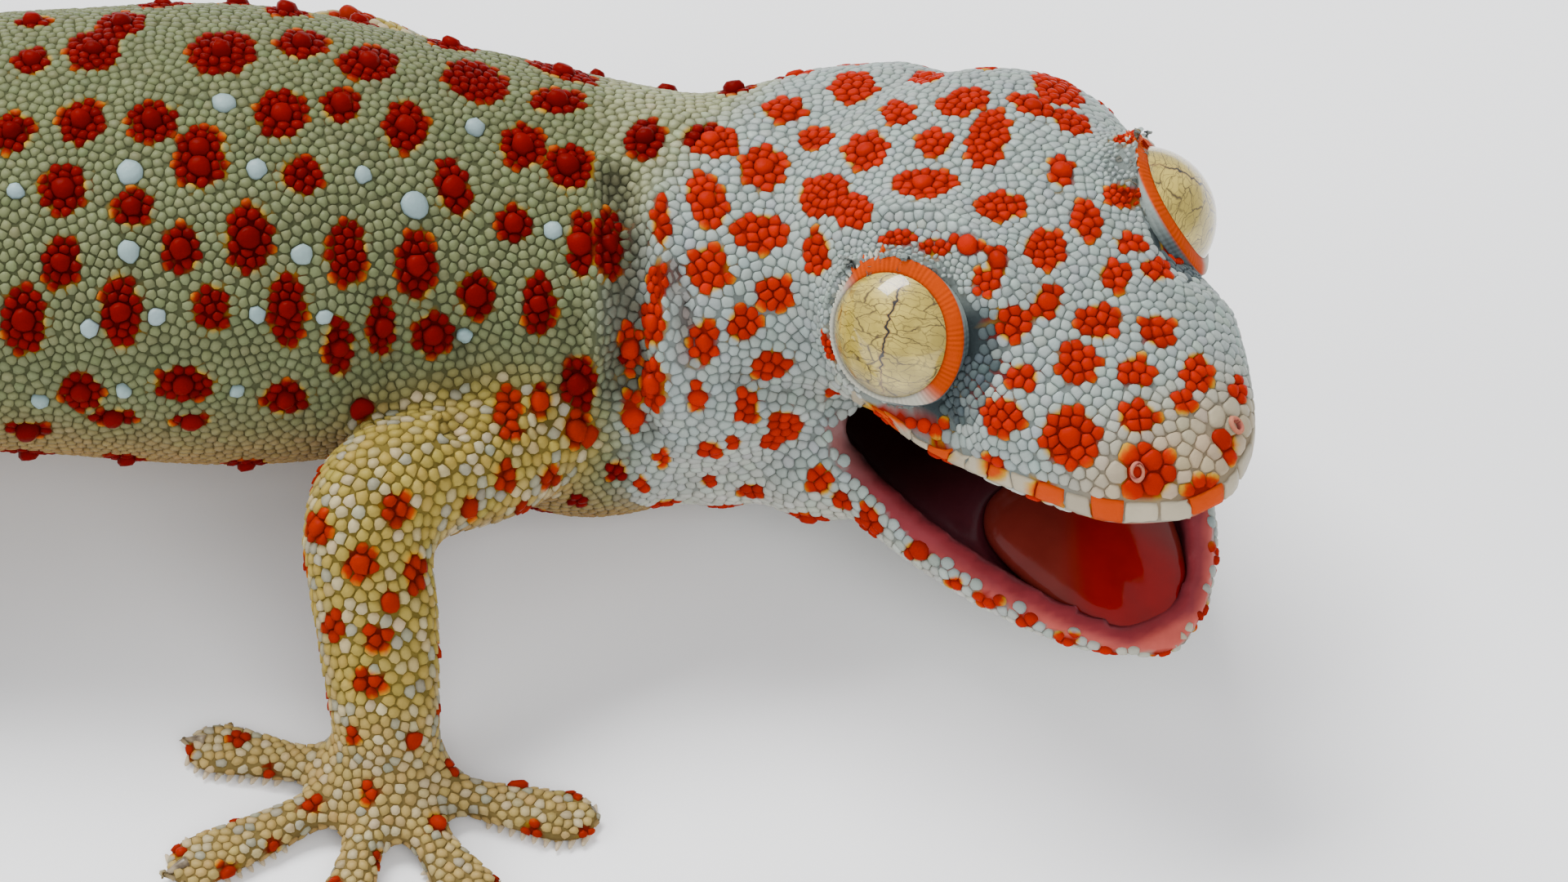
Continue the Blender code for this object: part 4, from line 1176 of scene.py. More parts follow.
HEAD_SPOTS = (
    (870, 172, 38, 22, -10), (935, 205, 28, 32), (960, 135, 28, 18), (1045, 108, 30, 25), (1135, 97, 22, 12),
    (1100, 138, 20, 20), (1000, 170, 20, 15), (1060, 185, 30, 25, 30), (1145, 175, 22, 20),
    (1130, 225, 42, 20), (1180, 125, 35, 18, 20), (1210, 170, 25, 45, -20), (1225, 253, 30, 20),
    (1010, 240, 35, 28), (1045, 258, 24, 24), (930, 285, 35, 25), (865, 245, 22, 40, 25), (868, 330, 28, 30),
    (948, 358, 25, 22), (910, 398, 22, 22), (862, 420, 18, 28), (943, 447, 25, 18), (1000, 310, 18, 30),
    (963, 520, 22, 20), (915, 498, 15, 25), (1100, 292, 24, 10), (1145, 302, 20, 12), (1208, 345, 20, 18),
    (1280, 305, 28, 28), (1375, 240, 25, 14), (1330, 270, 18, 28), (1365, 338, 20, 22), (1345, 395, 28, 24),
    (1417, 405, 24, 22), (1240, 395, 24, 24), (1282, 370, 18, 26, -30), (1320, 443, 28, 26),
    (1390, 455, 24, 20), (1465, 455, 20, 25), (1252, 462, 20, 18), (1450, 490, 15, 14), (1228, 510, 28, 24),
    (1310, 535, 38, 38), (1393, 512, 26, 22), (1406, 578, 34, 34), (1475, 605, 25, 20), (1502, 545, 16, 20),
    (1110, 514, 58, 13, -12), (1153, 557, 18, 14), (1215, 572, 18, 16), (1275, 602, 20, 18),
    (1350, 625, 20, 14), (1270, 90, 25, 18), (1210, 85, 30, 12), (1150, 75, 20, 10), (1295, 110, 35, 22, -30),
    (1300, 210, 15, 25), (1385, 298, 22, 12), (1415, 330, 22, 16), (1515, 478, 10, 18), (1185, 300, 26, 10, -20),
    (1222, 318, 16, 20), (1265, 130, 30, 14, -20), (1312, 150, 26, 16, -20),
)
JAW_SPOTS = (
    (1065, 640, 15, 25), (1125, 675, 22, 14), (1170, 712, 12, 8), (1210, 732, 16, 14), (1258, 758, 16, 12),
    (1308, 783, 16, 8), (1355, 797, 16, 6), (1425, 797, 16, 8), (1005, 590, 16, 18), (1030, 612, 14, 14),
)
NECK_SPOTS = (
    (800, 470, 15, 35), (790, 170, 25, 30), (810, 270, 12, 35), (745, 300, 18, 45), (870, 550, 15, 12),
    (920, 600, 16, 10), (800, 395, 15, 30), (772, 425, 14, 34), (775, 510, 14, 26), (805, 345, 12, 26),
)
WHITE_BEADS = (
    (160, 212, 20), (315, 208, 16), (158, 308, 17), (370, 312, 16), (275, 128, 18), (110, 402, 14),
    (192, 388, 14), (315, 385, 13), (508, 252, 22), (398, 388, 11), (678, 283, 14), (152, 478, 11),
    (290, 478, 11), (50, 490, 13), (582, 158, 15), (445, 215, 13), (570, 410, 12), (20, 235, 12),
)


CHEST_SPOTS = (
    (673, 584, 12, 15), (755, 576, 14, 14), (785, 592, 8, 14), (640, 622, 8, 12), (707, 612, 11, 10),
    (667, 491, 11, 18), (773, 505, 14, 26), (867, 588, 10, 8), (720, 532, 9, 14), (628, 528, 20, 9),
    (855, 486, 10, 22), (944, 541, 14, 9), (900, 541, 10, 7), (618, 578, 10, 15), (810, 560, 8, 12),
)


@dataclass
class Markings:
    """The red spots: those that the photograph shows and the ones hidden from it.

    Attributes:
        seed: Seed of the hidden spots.
        fringe: Width of a spot's paler edge, as a share of its size.
        centres: The spots' middles.
        shapes: The rows that turn an offset from a middle into shares of the spot's size.
        on_trunk: Whether each spot is one of those with a large tubercle.
    """

    seed: int = 5
    fringe: float = 0.1
    centres: list[Array] = field(default_factory=list)
    shapes: list[Array] = field(default_factory=list)
    on_trunk: list[bool] = field(default_factory=list)

    def read(self, skin: Skin, view: View) -> None:
        """Lay the spots that the photograph shows on the skin.

        Args:
            skin: The finished skin.
            view: The camera.
        """
        right, upwards, backwards = (np.array(view.axes().col[index]) for index in range(3))
        groups = ((TRUNK_SPOTS, True), (ARM_SPOTS, False), (HEAD_SPOTS, False), (JAW_SPOTS, False),
                  (NECK_SPOTS, True), (CHEST_SPOTS, False))
        for spots, trunk in groups:
            for column, row, wide, tall, *lean in spots:
                hit, normal, _, _ = skin.tree.ray_cast(view.eye(), view.ray(column, row))
                if hit is None:
                    continue
                size = view.pixel_size(hit)
                turn = math.radians(lean[0]) if lean else 0.0
                along = right * math.cos(turn) + upwards * math.sin(turn)
                across = upwards * math.cos(turn) - right * math.sin(turn)
                facing = max(0.25, abs(float(np.array(normal) @ backwards)))
                deep = max(wide, tall) * size * min(3.6, 1.1 + math.sqrt(1.0 - facing**2) / facing)
                rows = (along / (wide * size), across / (tall * size), backwards / deep)
                self.centres.append(np.array(hit))
                self.shapes.append(np.array(rows))
                self.on_trunk.append(trunk)

    def scatter(self, skin: Skin, view: View) -> None:
        """Spread spots of the same kind over all that the photograph doesn't show.

        Args:
            skin: The finished skin.
            view: The camera.
        """
        rng = np.random.default_rng(self.seed)
        gaps = np.array((4.4, 4.6, 5.3, 5.2, 4.2, 3.6))
        radii = np.array((1.25, 1.3, 1.75, 1.35, 1.05, 0.75))
        pixels = view.pixel(skin.points)
        framed = (pixels > 0.0).all(1) & (pixels[:, 0] < view.columns) & (pixels[:, 1] < 880.0)
        free = (skin.bare < 0.3) & (skin.normals[:, 2] > -0.72)
        centres = np.array(self.centres)
        for index in rng.permutation(len(skin.points)):
            if not free[index]:
                continue
            point = skin.points[index]
            kind = skin.kind[index]
            if np.min(np.sum((centres - point) ** 2, axis=1)) < gaps[kind] ** 2:
                continue
            if framed[index] and self.visible(skin, view, index):
                free[index] = False
                continue
            centres = np.vstack((centres, point))
            radius = radii[kind] * rng.uniform(0.8, 1.2)
            stretch = unit(rng.normal(size=(3, 3)))
            stretch, _ = np.linalg.qr(stretch)
            self.centres.append(point)
            self.shapes.append(stretch / (radius * rng.uniform(0.85, 1.2, 3))[:, None])
            self.on_trunk.append(bool(kind in (NECK, TRUNK, TAIL)))

    @staticmethod
    def visible(skin: Skin, view: View, index: int) -> bool:
        """Tell whether the camera sees a point of the skin."""
        start = Vector(skin.points[index] + skin.normals[index] * 0.3)
        towards = (view.eye() - start).normalized()
        if towards.dot(Vector(skin.normals[index])) < 0.12:
            return False
        return skin.tree.ray_cast(start, towards)[0] is None

    def index(self) -> None:
        """Build the tree that finds the spots near a point."""
        self.middle = np.array(self.centres)
        self.shape = np.array(self.shapes)
        self.tree = KDTree(len(self.middle))
        for number, centre in enumerate(self.middle):
            self.tree.insert(centre, number)
        self.tree.balance()

    def near(self, points: Array, count: int = 6) -> Array:
        """Give the numbers of the spots nearest to each point."""
        return np.array([[found[1] for found in self.tree.find_n(point, count)] for point in points])

    def reach(self, points: Array, numbers: Array) -> Array:
        """Give how far out in its spot each point lies, where 1 is the spot's edge.

        Args:
            points: Points, one a row.
            numbers: The spots to try for each point.

        Returns:
            The smallest share over the spots tried.
        """
        offset = points[:, None, :] - self.middle[numbers]
        local = np.einsum("nkij,nkj->nki", self.shape[numbers], offset)
        return np.linalg.norm(local, axis=2).min(1)

    def paint(self, ground: Array, reach: Array, spot: Array) -> Array:
        """Colour points by how far out in a spot they lie.

        Args:
            ground: Ground colours.
            reach: Share of the spot's size, from reach().
            spot: The spots' colour for each point.

        Returns:
            The marked colours.
        """
        warm = blend(spot, SPOT_EDGE * 0.7 + spot * 0.3, ramp(reach, 0.84, 0.97))
        edge = blend(warm, SPOT_FRINGE, ramp(reach, 0.94, 1.01))
        return blend(edge, ground, ramp(reach, 1.03, 1.03 + self.fringe))


@dataclass
class Coat:
    """The scales over the whole skin, each a low dome in a cell of its own.

    Attributes:
        seed: Seed of the scales' places.
        tries: Candidate places for each scale that finds room.
        passes: How often the places are spread out evenly.
        groove: Share of its cell that a scale fills.
        root: How deep a scale's foot lies below the skin.
        neighbours: How many cells round a scale are looked at.
        limit: Most triangles in a piece.
    """

    seed: int = 3
    tries: float = 9.0
    passes: int = 4
    groove: float = 0.985
    root: float = 0.22
    neighbours: int = 12
    limit: int = 190_000
    fixed: list[tuple[Array, float, float, int, Array | None]] = field(default_factory=list)

    def fix(self, skin: Skin, place: Array, spacing: float, height: float, sides: int,
            colour: Array | None = None) -> None:
        """Keep the place on the skin nearest to a point for a scale of its own size.

        Args:
            skin: The skin.
            place: A point near the skin.
            spacing: The scale's size.
            height: Its height.
            sides: Corners of its outline.
            colour: Its own ground colour, if it has one.
        """
        hit, _, face, _ = skin.tree.find_nearest(Vector(place))
        crowd = [
            spot for spot, size, *_ in self.fixed
            if np.linalg.norm(spot - hit) < 0.36 * (size + spacing)
        ]
        if skin.bare[skin.faces[face]].max() < 0.5 and not crowd:
            self.fixed.append((np.array(hit), spacing, height, sides, colour))

    def spacing_field(self, skin: Skin, pose: HeadPose, eyes: Eyes) -> Array:
        """Give the distance between scales wanted at each point of the skin."""
        spacing = of_kinds("spacing")[skin.kind]
        spacing = skin.net.average(spacing, 6)
        local = moved(pose.matrix().inverted(), skin.points)
        on_head = (skin.kind == HEAD).astype(float)
        lip = ramp(local[:, 2], -2.6, -4.8) * ramp(local[:, 0], -6.0, 0.0) * (skin.node == 0)
        tip = ramp(local[:, 0], 15.5, 19.5) * ramp(local[:, 2], -9.0, -7.0)
        spacing += on_head * (0.34 * np.maximum(lip, tip) - 0.08 * ramp(local[:, 2], 2.0, 6.0))
        for eye in eyes.frames.values():
            distance, angle, _ = eye.polar(skin.points)
            close = ramp(distance, eyes.radius + 3.0, eyes.radius + 1.0) * ramp(angle, 2.1, 1.5)
            spacing = spacing * (1.0 - close) + 0.5 * close
        return spacing

    def keep_places(self, skin: Skin, view: View, marks: Markings) -> None:
        """Keep places for the scales round the nostrils, the large tubercles and the white beads."""
        for rim, normal in skin.nostrils:
            side = normal.cross(Vector((0.0, 0.0, 1.0))).normalized()
            for turn in range(5):
                angle = math.tau * turn / 5.0
                around = side * math.cos(angle) + normal.cross(side) * math.sin(angle)
                self.fix(skin, rim + around * 1.45, 1.45, 0.24, 16)
        for column, row, size in WHITE_BEADS:
            hit = skin.tree.ray_cast(view.eye(), view.ray(column, row))[0]
            if hit is not None:
                self.fix(skin, hit, 1.65 * size * view.pixel_size(hit), 0.55, 16, BEAD_WHITE)
        rng = np.random.default_rng(self.seed)
        for centre, trunk in zip(marks.centres, marks.on_trunk):
            if trunk and centre[2] > 8.0 and rng.random() < 0.8:
                self.fix(skin, centre, rng.uniform(1.25, 1.75), rng.uniform(0.4, 0.62), 12)
            elif not trunk and rng.random() < 0.3:
                self.fix(skin, centre, rng.uniform(1.2, 1.6), 0.34, 12)

    def throw(self, skin: Skin, spacing: Array) -> None:
        """Fill the skin with places, none nearer to another than their spacing allows."""
        rng = np.random.default_rng(self.seed + 1)
        corners = skin.points[skin.faces]
        span = np.cross(corners[:, 2] - corners[:, 0], corners[:, 3] - corners[:, 1])
        area = 0.5 * np.linalg.norm(span, axis=1)
        wanted = spacing[skin.faces].mean(1)
        weight = area / (0.8 * wanted**2)
        weight[skin.bare[skin.faces].mean(1) > 0.5] = 0.0
        total = int(weight.sum() * self.tries)
        picks = rng.choice(len(area), total, p=weight / weight.sum())
        across, down = rng.random((2, total, 1))
        quads = corners[picks]
        upper = quads[:, 0] * (1.0 - across) + quads[:, 1] * across
        lower = quads[:, 3] * (1.0 - across) + quads[:, 2] * across
        places = upper * (1.0 - down) + lower * down
        cells: dict[tuple[int, int, int], list[tuple[float, float, float, float]]] = {}
        kept = []
        sizes = []
        for place, size, _, _, _ in self.fixed:
            self.drop(cells, tuple(place), size)
        for (x, y, z), size in zip(places.tolist(), wanted[picks].tolist()):
            if self.has_room(cells, x, y, z, size):
                self.drop(cells, (x, y, z), size)
                kept.append((x, y, z))
                sizes.append(size)
        self.places = np.array([place for place, *_ in self.fixed] + kept)
        self.sizes = np.array([size for _, size, *_ in self.fixed] + sizes)

    @staticmethod
    def drop(cells: dict, place: tuple[float, float, float], size: float) -> None:
        """Enter a place into the grid of cells."""
        key = tuple(int(math.floor(value / SORT_CELL)) for value in place)
        cells.setdefault(key, []).append((*place, size))

    @staticmethod
    def has_room(cells: dict, x: float, y: float, z: float, size: float) -> bool:
        """Tell whether a new scale of a size has room at a place."""
        column, row, level = (int(math.floor(value / SORT_CELL)) for value in (x, y, z))
        for i in (column, column - 1, column + 1):
            for j in (row, row - 1, row + 1):
                for k in (level, level - 1, level + 1):
                    for px, py, pz, other in cells.get((i, j, k), ()):
                        gap = 0.37 * (size + other)
                        if (x - px) ** 2 + (y - py) ** 2 + (z - pz) ** 2 < gap * gap:
                            return False
        return True

    def neighbour_table(self) -> Array:
        """Give the numbers of the places nearest to each place, without itself."""
        tree = KDTree(len(self.places))
        for number, place in enumerate(self.places):
            tree.insert(place, number)
        tree.balance()
        count = self.neighbours + 1
        table = np.array([[found[1] for found in tree.find_n(place, count)] for place in self.places])
        return table[:, 1:]

    def spread(self, skin: Skin) -> None:
        """Push places apart along the skin until they lie evenly."""
        held = len(self.fixed)
        for _ in range(self.passes):
            table = self.neighbour_table()
            offset = self.places[:, None, :] - self.places[table]
            gap = np.linalg.norm(offset, axis=2)
            wish = 0.53 * (self.sizes[:, None] + self.sizes[table])
            push = np.clip(1.0 - gap / wish, 0.0, 1.0) * wish * 0.3
            shift = (offset / np.maximum(gap, 1e-6)[..., None] * push[..., None]).sum(1)
            shift[:held] = 0.0
            moved_places = self.places + shift
            for number in range(held, len(moved_places)):
                hit = skin.tree.find_nearest(Vector(moved_places[number]))[0]
                self.places[number] = hit

    def settle(self, skin: Skin, spacing: Array, marks: Markings) -> None:
        """Find each scale's normal, lie and kind."""
        tree = KDTree(len(skin.points))
        for number, point in enumerate(skin.points):
            tree.insert(point, number)
        tree.balance()
        self.foot = np.array([tree.find(place)[1] for place in self.places])
        self.normal = skin.normals[self.foot]
        self.node = skin.node[self.foot]
        self.kind = skin.kind[self.foot]
        self.lie = self.lie_of(skin)
        self.side = np.cross(self.normal, self.lie)

    def lie_of(self, skin: Skin) -> Array:
        """Give the direction that each scale points, away from the trunk along its own part."""
        home = np.mean([np.array(corner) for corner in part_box("torso_front")], axis=0) / MM
        lie = np.zeros_like(self.places)
        for number, name in enumerate(FLESH):
            own = self.node == number
            if not own.any():
                continue
            points = skin.points[skin.node == number]
            middle = points.mean(0)
            _, _, axes = np.linalg.svd(points - middle, full_matrices=False)
            axis = axes[0]
            away = middle - home if name != "torso_front" else np.array((-1.0, 0.0, 0.0))
            if KIND_OF[number] <= 2:
                away = np.array((-1.0, 0.0, 0.0))
            if KIND_OF[number] == 5:
                lie[own] = self.places[own] - middle
                continue
            lie[own] = axis * (1.0 if axis @ away > 0.0 else -1.0)
        lie -= self.normal * np.sum(lie * self.normal, axis=1, keepdims=True)
        return unit(lie + 1e-6)

    def outline(self, numbers: Array, sides: int) -> tuple[Array, Array, Array]:
        """Cut each scale's cell out of the skin between its neighbours.

        Args:
            numbers: The scales to cut.
            sides: Corners of each outline.

        Returns:
            The bearing of each corner, its distance from the middle, and its direction.
        """
        table = self.table[numbers]
        offset = self.places[table] - self.places[numbers][:, None, :]
        normal = self.normal[numbers][:, None, :]
        offset -= np.sum(offset * normal, axis=2, keepdims=True) * normal
        squared = np.sum(offset**2, axis=2)
        own = (self.sizes[numbers] / 2.0)[:, None]
        other = self.sizes[table] / 2.0
        share = (squared + own**2 - other**2) / 2.0
        bearing = math.tau * np.arange(sides) / sides
        direction = (
            self.lie[numbers][:, None, :] * np.cos(bearing)[None, :, None]
            + self.side[numbers][:, None, :] * np.sin(bearing)[None, :, None]
        )
        along = np.einsum("nmj,nkj->nkm", offset, direction)
        cut = np.where(along > 1e-3, share[:, None, :] / np.maximum(along, 1e-3), 1e3)
        radius = np.clip(cut.min(2), 0.3 * own, 1.3 * own)
        return bearing, radius * self.groove, direction

    def grow(self, numbers: Array, sides: int, skin: Skin) -> tuple[Array, Array]:
        """Raise the domes of some scales.

        Args:
            numbers: The scales to raise.
            sides: Corners of each outline.
            skin: The skin that they stand on.

        Returns:
            Points as scale by ring by corner, and the share of the way out of each ring.
        """
        bearing, radius, direction = self.outline(numbers, sides)
        tilt = of_kinds("tilt")[self.kind[numbers]][:, None]
        stretch = 1.0 + 0.22 * tilt * np.maximum(0.0, np.cos(bearing))[None, :]
        radius = radius * stretch
        middle = self.places[numbers][:, None, :]
        flat = middle + direction * radius[..., None]
        landed = np.array([skin.tree.find_nearest(Vector(point))[0] for point in flat.reshape(-1, 3)])
        bend = landed.reshape(flat.shape) - flat
        height = self.heights[numbers][:, None]
        rings = ((1.0, None), (0.84, 0.74)) if sides <= 8 else ((1.0, None), (0.93, 0.55), (0.62, 0.93))
        layers = []
        for share, lift in rings:
            place = middle + direction * (radius * share)[..., None] + bend * share**2
            lean = tilt * 0.75 * share * np.cos(bearing)[None, :]
            rise = -self.root if lift is None else height * (lift + lean)
            lifted = np.broadcast_to(rise, radius.shape)[..., None]
            layers.append(place + self.normal[numbers][:, None, :] * lifted)
        top = middle + self.normal[numbers][:, None, :] * height[..., None]
        layers.append(top)
        return np.concatenate(layers, 1), np.array([share for share, _ in rings])

    @staticmethod
    def dome_faces(count: int, sides: int, rings: int) -> Array:
        """Give the triangles of many domes of the same make.

        Args:
            count: How many domes.
            sides: Corners of each ring.
            rings: How many rings lie under the top point.

        Returns:
            Vertex numbers, three a row.
        """
        faces = []
        for ring in range(rings - 1):
            for corner in range(sides):
                following = (corner + 1) % sides
                low, high = ring * sides, (ring + 1) * sides
                faces.append((low + corner, low + following, high + following))
                faces.append((low + corner, high + following, high + corner))
        base = (rings - 1) * sides
        for corner in range(sides):
            faces.append((base + corner, base + (corner + 1) % sides, rings * sides))
        one = np.array(faces)
        size = rings * sides + 1
        return (one[None] + (np.arange(count) * size)[:, None, None]).reshape(-1, 3)

    @staticmethod
    def unwrap(places: Array, normals: Array, node: int, skin: Skin) -> Array:
        """Give each scale's own spot on an unwrap of the part that it grows on.

        Args:
            places: The scales' places.
            normals: The skin's normals there.
            node: The number of their node.
            skin: The skin.

        Returns:
            One place on the map for each scale, no two alike.
        """
        points = skin.points[skin.node == node]
        middle = points.mean(0)
        _, _, axes = np.linalg.svd(points - middle, full_matrices=False)
        local = (places - middle) @ axes.T
        spans = (points - middle) @ axes.T
        low, high = spans.min(0), spans.max(0)
        if KIND_OF[node] == 5:
            flat = (places[:, :2] - points[:, :2].min(0)) / np.ptp(points[:, :2], axis=0)
            upper = normals[:, 2] > 0.0
            map_places = np.stack((flat[:, 0] * 0.48 + np.where(upper, 0.01, 0.51), flat[:, 1]), 1)
        else:
            along = (local[:, 0] - low[0]) / (high[0] - low[0])
            around = np.arctan2(local[:, 2], local[:, 1]) / math.tau + 0.5
            map_places = np.stack((along, around), 1)
        cells = 240
        taken: set[tuple[int, int]] = set()
        steps = ((i, j) for i in range(-9, 10) for j in range(-9, 10))
        spiral = sorted(steps, key=lambda step: step[0] ** 2 + step[1] ** 2)
        result = []
        for u, v in np.clip(map_places * cells, 1, cells - 2).astype(int).tolist():
            for i, j in spiral:
                cell = (min(max(u + i, 0), cells - 1), min(max(v + j, 0), cells - 1))
                if cell not in taken:
                    break
            taken.add(cell)
            result.append(((cell[0] + 0.5) / cells, (cell[1] + 0.5) / cells))
        return np.array(result)

    def colours(self, numbers: Array, points: Array, ground: Array, marks: Markings) -> Array:
        """Colour the points of some scales.

        Args:
            numbers: The scales.
            points: Their points, as scale by point.
            ground: The skin's ground colours.
            marks: The markings.

        Returns:
            One colour for each point of each scale.
        """
        rng = np.random.default_rng(self.seed + 7)
        near = self.near[numbers]
        centre = marks.reach(self.places[numbers], near)
        count = points.shape[1]
        spread = marks.reach(points.reshape(-1, 3), np.repeat(near, count, axis=0)).reshape(-1, count)
        reach = 0.55 * centre[:, None] + 0.45 * spread + 0.1 * np.sign(centre - 1.0)[:, None]
        base = ground[self.foot[numbers]].copy()
        for row, number in enumerate(numbers):
            if self.own_colour[number] is not None:
                base[row] = self.own_colour[number]
        drift = rng.random(len(numbers)) * (self.kind[numbers] >= LIMB)
        base = blend(base, LIMB_CREAM, ramp(drift, 0.45, 0.85) * 0.75)
        base = blend(base, LIMB_GREY, ramp(drift, 0.85, 0.9) * 0.7)
        shade = rng.normal(1.0, 0.06, (len(numbers), 1)) * rng.normal(1.0, 0.02, (len(numbers), 3))
        base = np.repeat((base * shade)[:, None, :], count, axis=1)
        spot = of_kinds("spot")[self.kind[numbers]]
        spot = spot * rng.normal(1.0, 0.1, (len(numbers), 1))
        spot = np.repeat(spot[:, None, :], count, axis=1)
        return marks.paint(base, reach, spot)

    def make_piece(self, node: int, sides: int, numbers: Array, skin: Skin, ground: Array, marks: Markings,
                   name: str, material: bpy.types.Material) -> None:
        """Make one piece of the coat.

        Args:
            node: The number of the node that it covers.
            sides: Corners of a scale's outline.
            numbers: Its scales.
            skin: The skin.
            ground: The skin's ground colours.
            marks: The markings.
            name: The piece's name.
            material: The scales' finish.
        """
        points, shares = self.grow(numbers, sides, skin)
        rings = len(shares)
        faces = self.dome_faces(len(numbers), sides, rings)
        colours = self.colours(numbers, points, ground, marks)
        # Painted shade and highlight on each dome: its foot ring is darkened as shade in the groove, and its top
        # point is lightened a little as a highlight.
        painted_dome_light = (PAINTED_GROOVE_SHADE[KIND_OF[node]], 0.96, 1.0)[:rings]
        shade = np.concatenate([np.repeat(value, sides) for value in painted_dome_light] + [np.array([1.03])])
        colours = colours * shade[None, :, None]
        mesh = bpy.data.meshes.new(name)
        mesh.vertices.add(points.size // 3)
        mesh.vertices.foreach_set("co", (points * MM).ravel())
        mesh.loops.add(faces.size)
        mesh.loops.foreach_set("vertex_index", faces.ravel().astype(np.int32))
        mesh.polygons.add(len(faces))
        mesh.polygons.foreach_set("loop_start", np.arange(0, faces.size, 3, dtype=np.int32))
        mesh.update(calc_edges=True)
        set_tint(mesh, colours.reshape(-1, 3).clip(0.0, 1.0))
        bearing = math.tau * np.arange(sides) / sides
        ring = np.stack((np.cos(bearing), np.sin(bearing)), 1) * MAP_PATCH
        patch = np.concatenate([ring * share for share in shares] + [np.zeros((1, 2))])
        places = self.unwrap(self.places[numbers], self.normal[numbers], node, skin)
        table = (places[:, None, :] + patch[None]).reshape(-1, 2)
        layer = mesh.uv_layers.new(name=BAKE_MAP)
        layer.data.foreach_set("uv", table[faces.ravel()].ravel().astype(np.float32))
        add_piece(mesh, name, HIDES[KIND_OF[node]].slot, material)

    def build(self, skin: Skin, spacing: Array, marks: Markings) -> None:
        """Place every scale and find its size, height and lie."""
        self.throw(skin, spacing)
        self.spread(skin)
        self.settle(skin, spacing, marks)
        self.table = self.neighbour_table()
        self.near = marks.near(self.places)
        self.heights = of_kinds("height")[self.kind]
        self.sides = of_kinds("sides")[self.kind]
        self.own_colour: list[Array | None] = [None] * len(self.places)
        for number, (_, _, height, sides, colour) in enumerate(self.fixed):
            self.heights[number] = height
            self.sides[number] = sides
            self.own_colour[number] = colour
        rng = np.random.default_rng(self.seed + 2)
        self.heights *= rng.uniform(0.85, 1.15, len(self.heights))
        reach = marks.reach(self.places, self.near)
        self.heights *= 1.0 + 0.55 * ramp(reach, 1.0, 0.6)
        LOG.info("coat: %d scales", len(self.places))

    def dress(self, skin: Skin, ground: Array, marks: Markings,
              finishes: dict[str, bpy.types.Material]) -> None:
        """Make the coat's pieces, one for each node and make of scale."""
        for node, name in enumerate(FLESH):
            for sides in (8, 12, 16):
                numbers = np.nonzero((self.node == node) & (self.sides == sides))[0]
                if not len(numbers):
                    continue
                triangles = sides * (3 if sides <= 8 else 5)
                parts = math.ceil(len(numbers) * triangles / self.limit)
                for part, group in enumerate(np.array_split(numbers, parts)):
                    label = f"scales_{name}_{sides}_{part}"
                    slot = HIDES[KIND_OF[node]].slot
                    self.make_piece(node, sides, group, skin, ground, marks, label, finishes[slot])


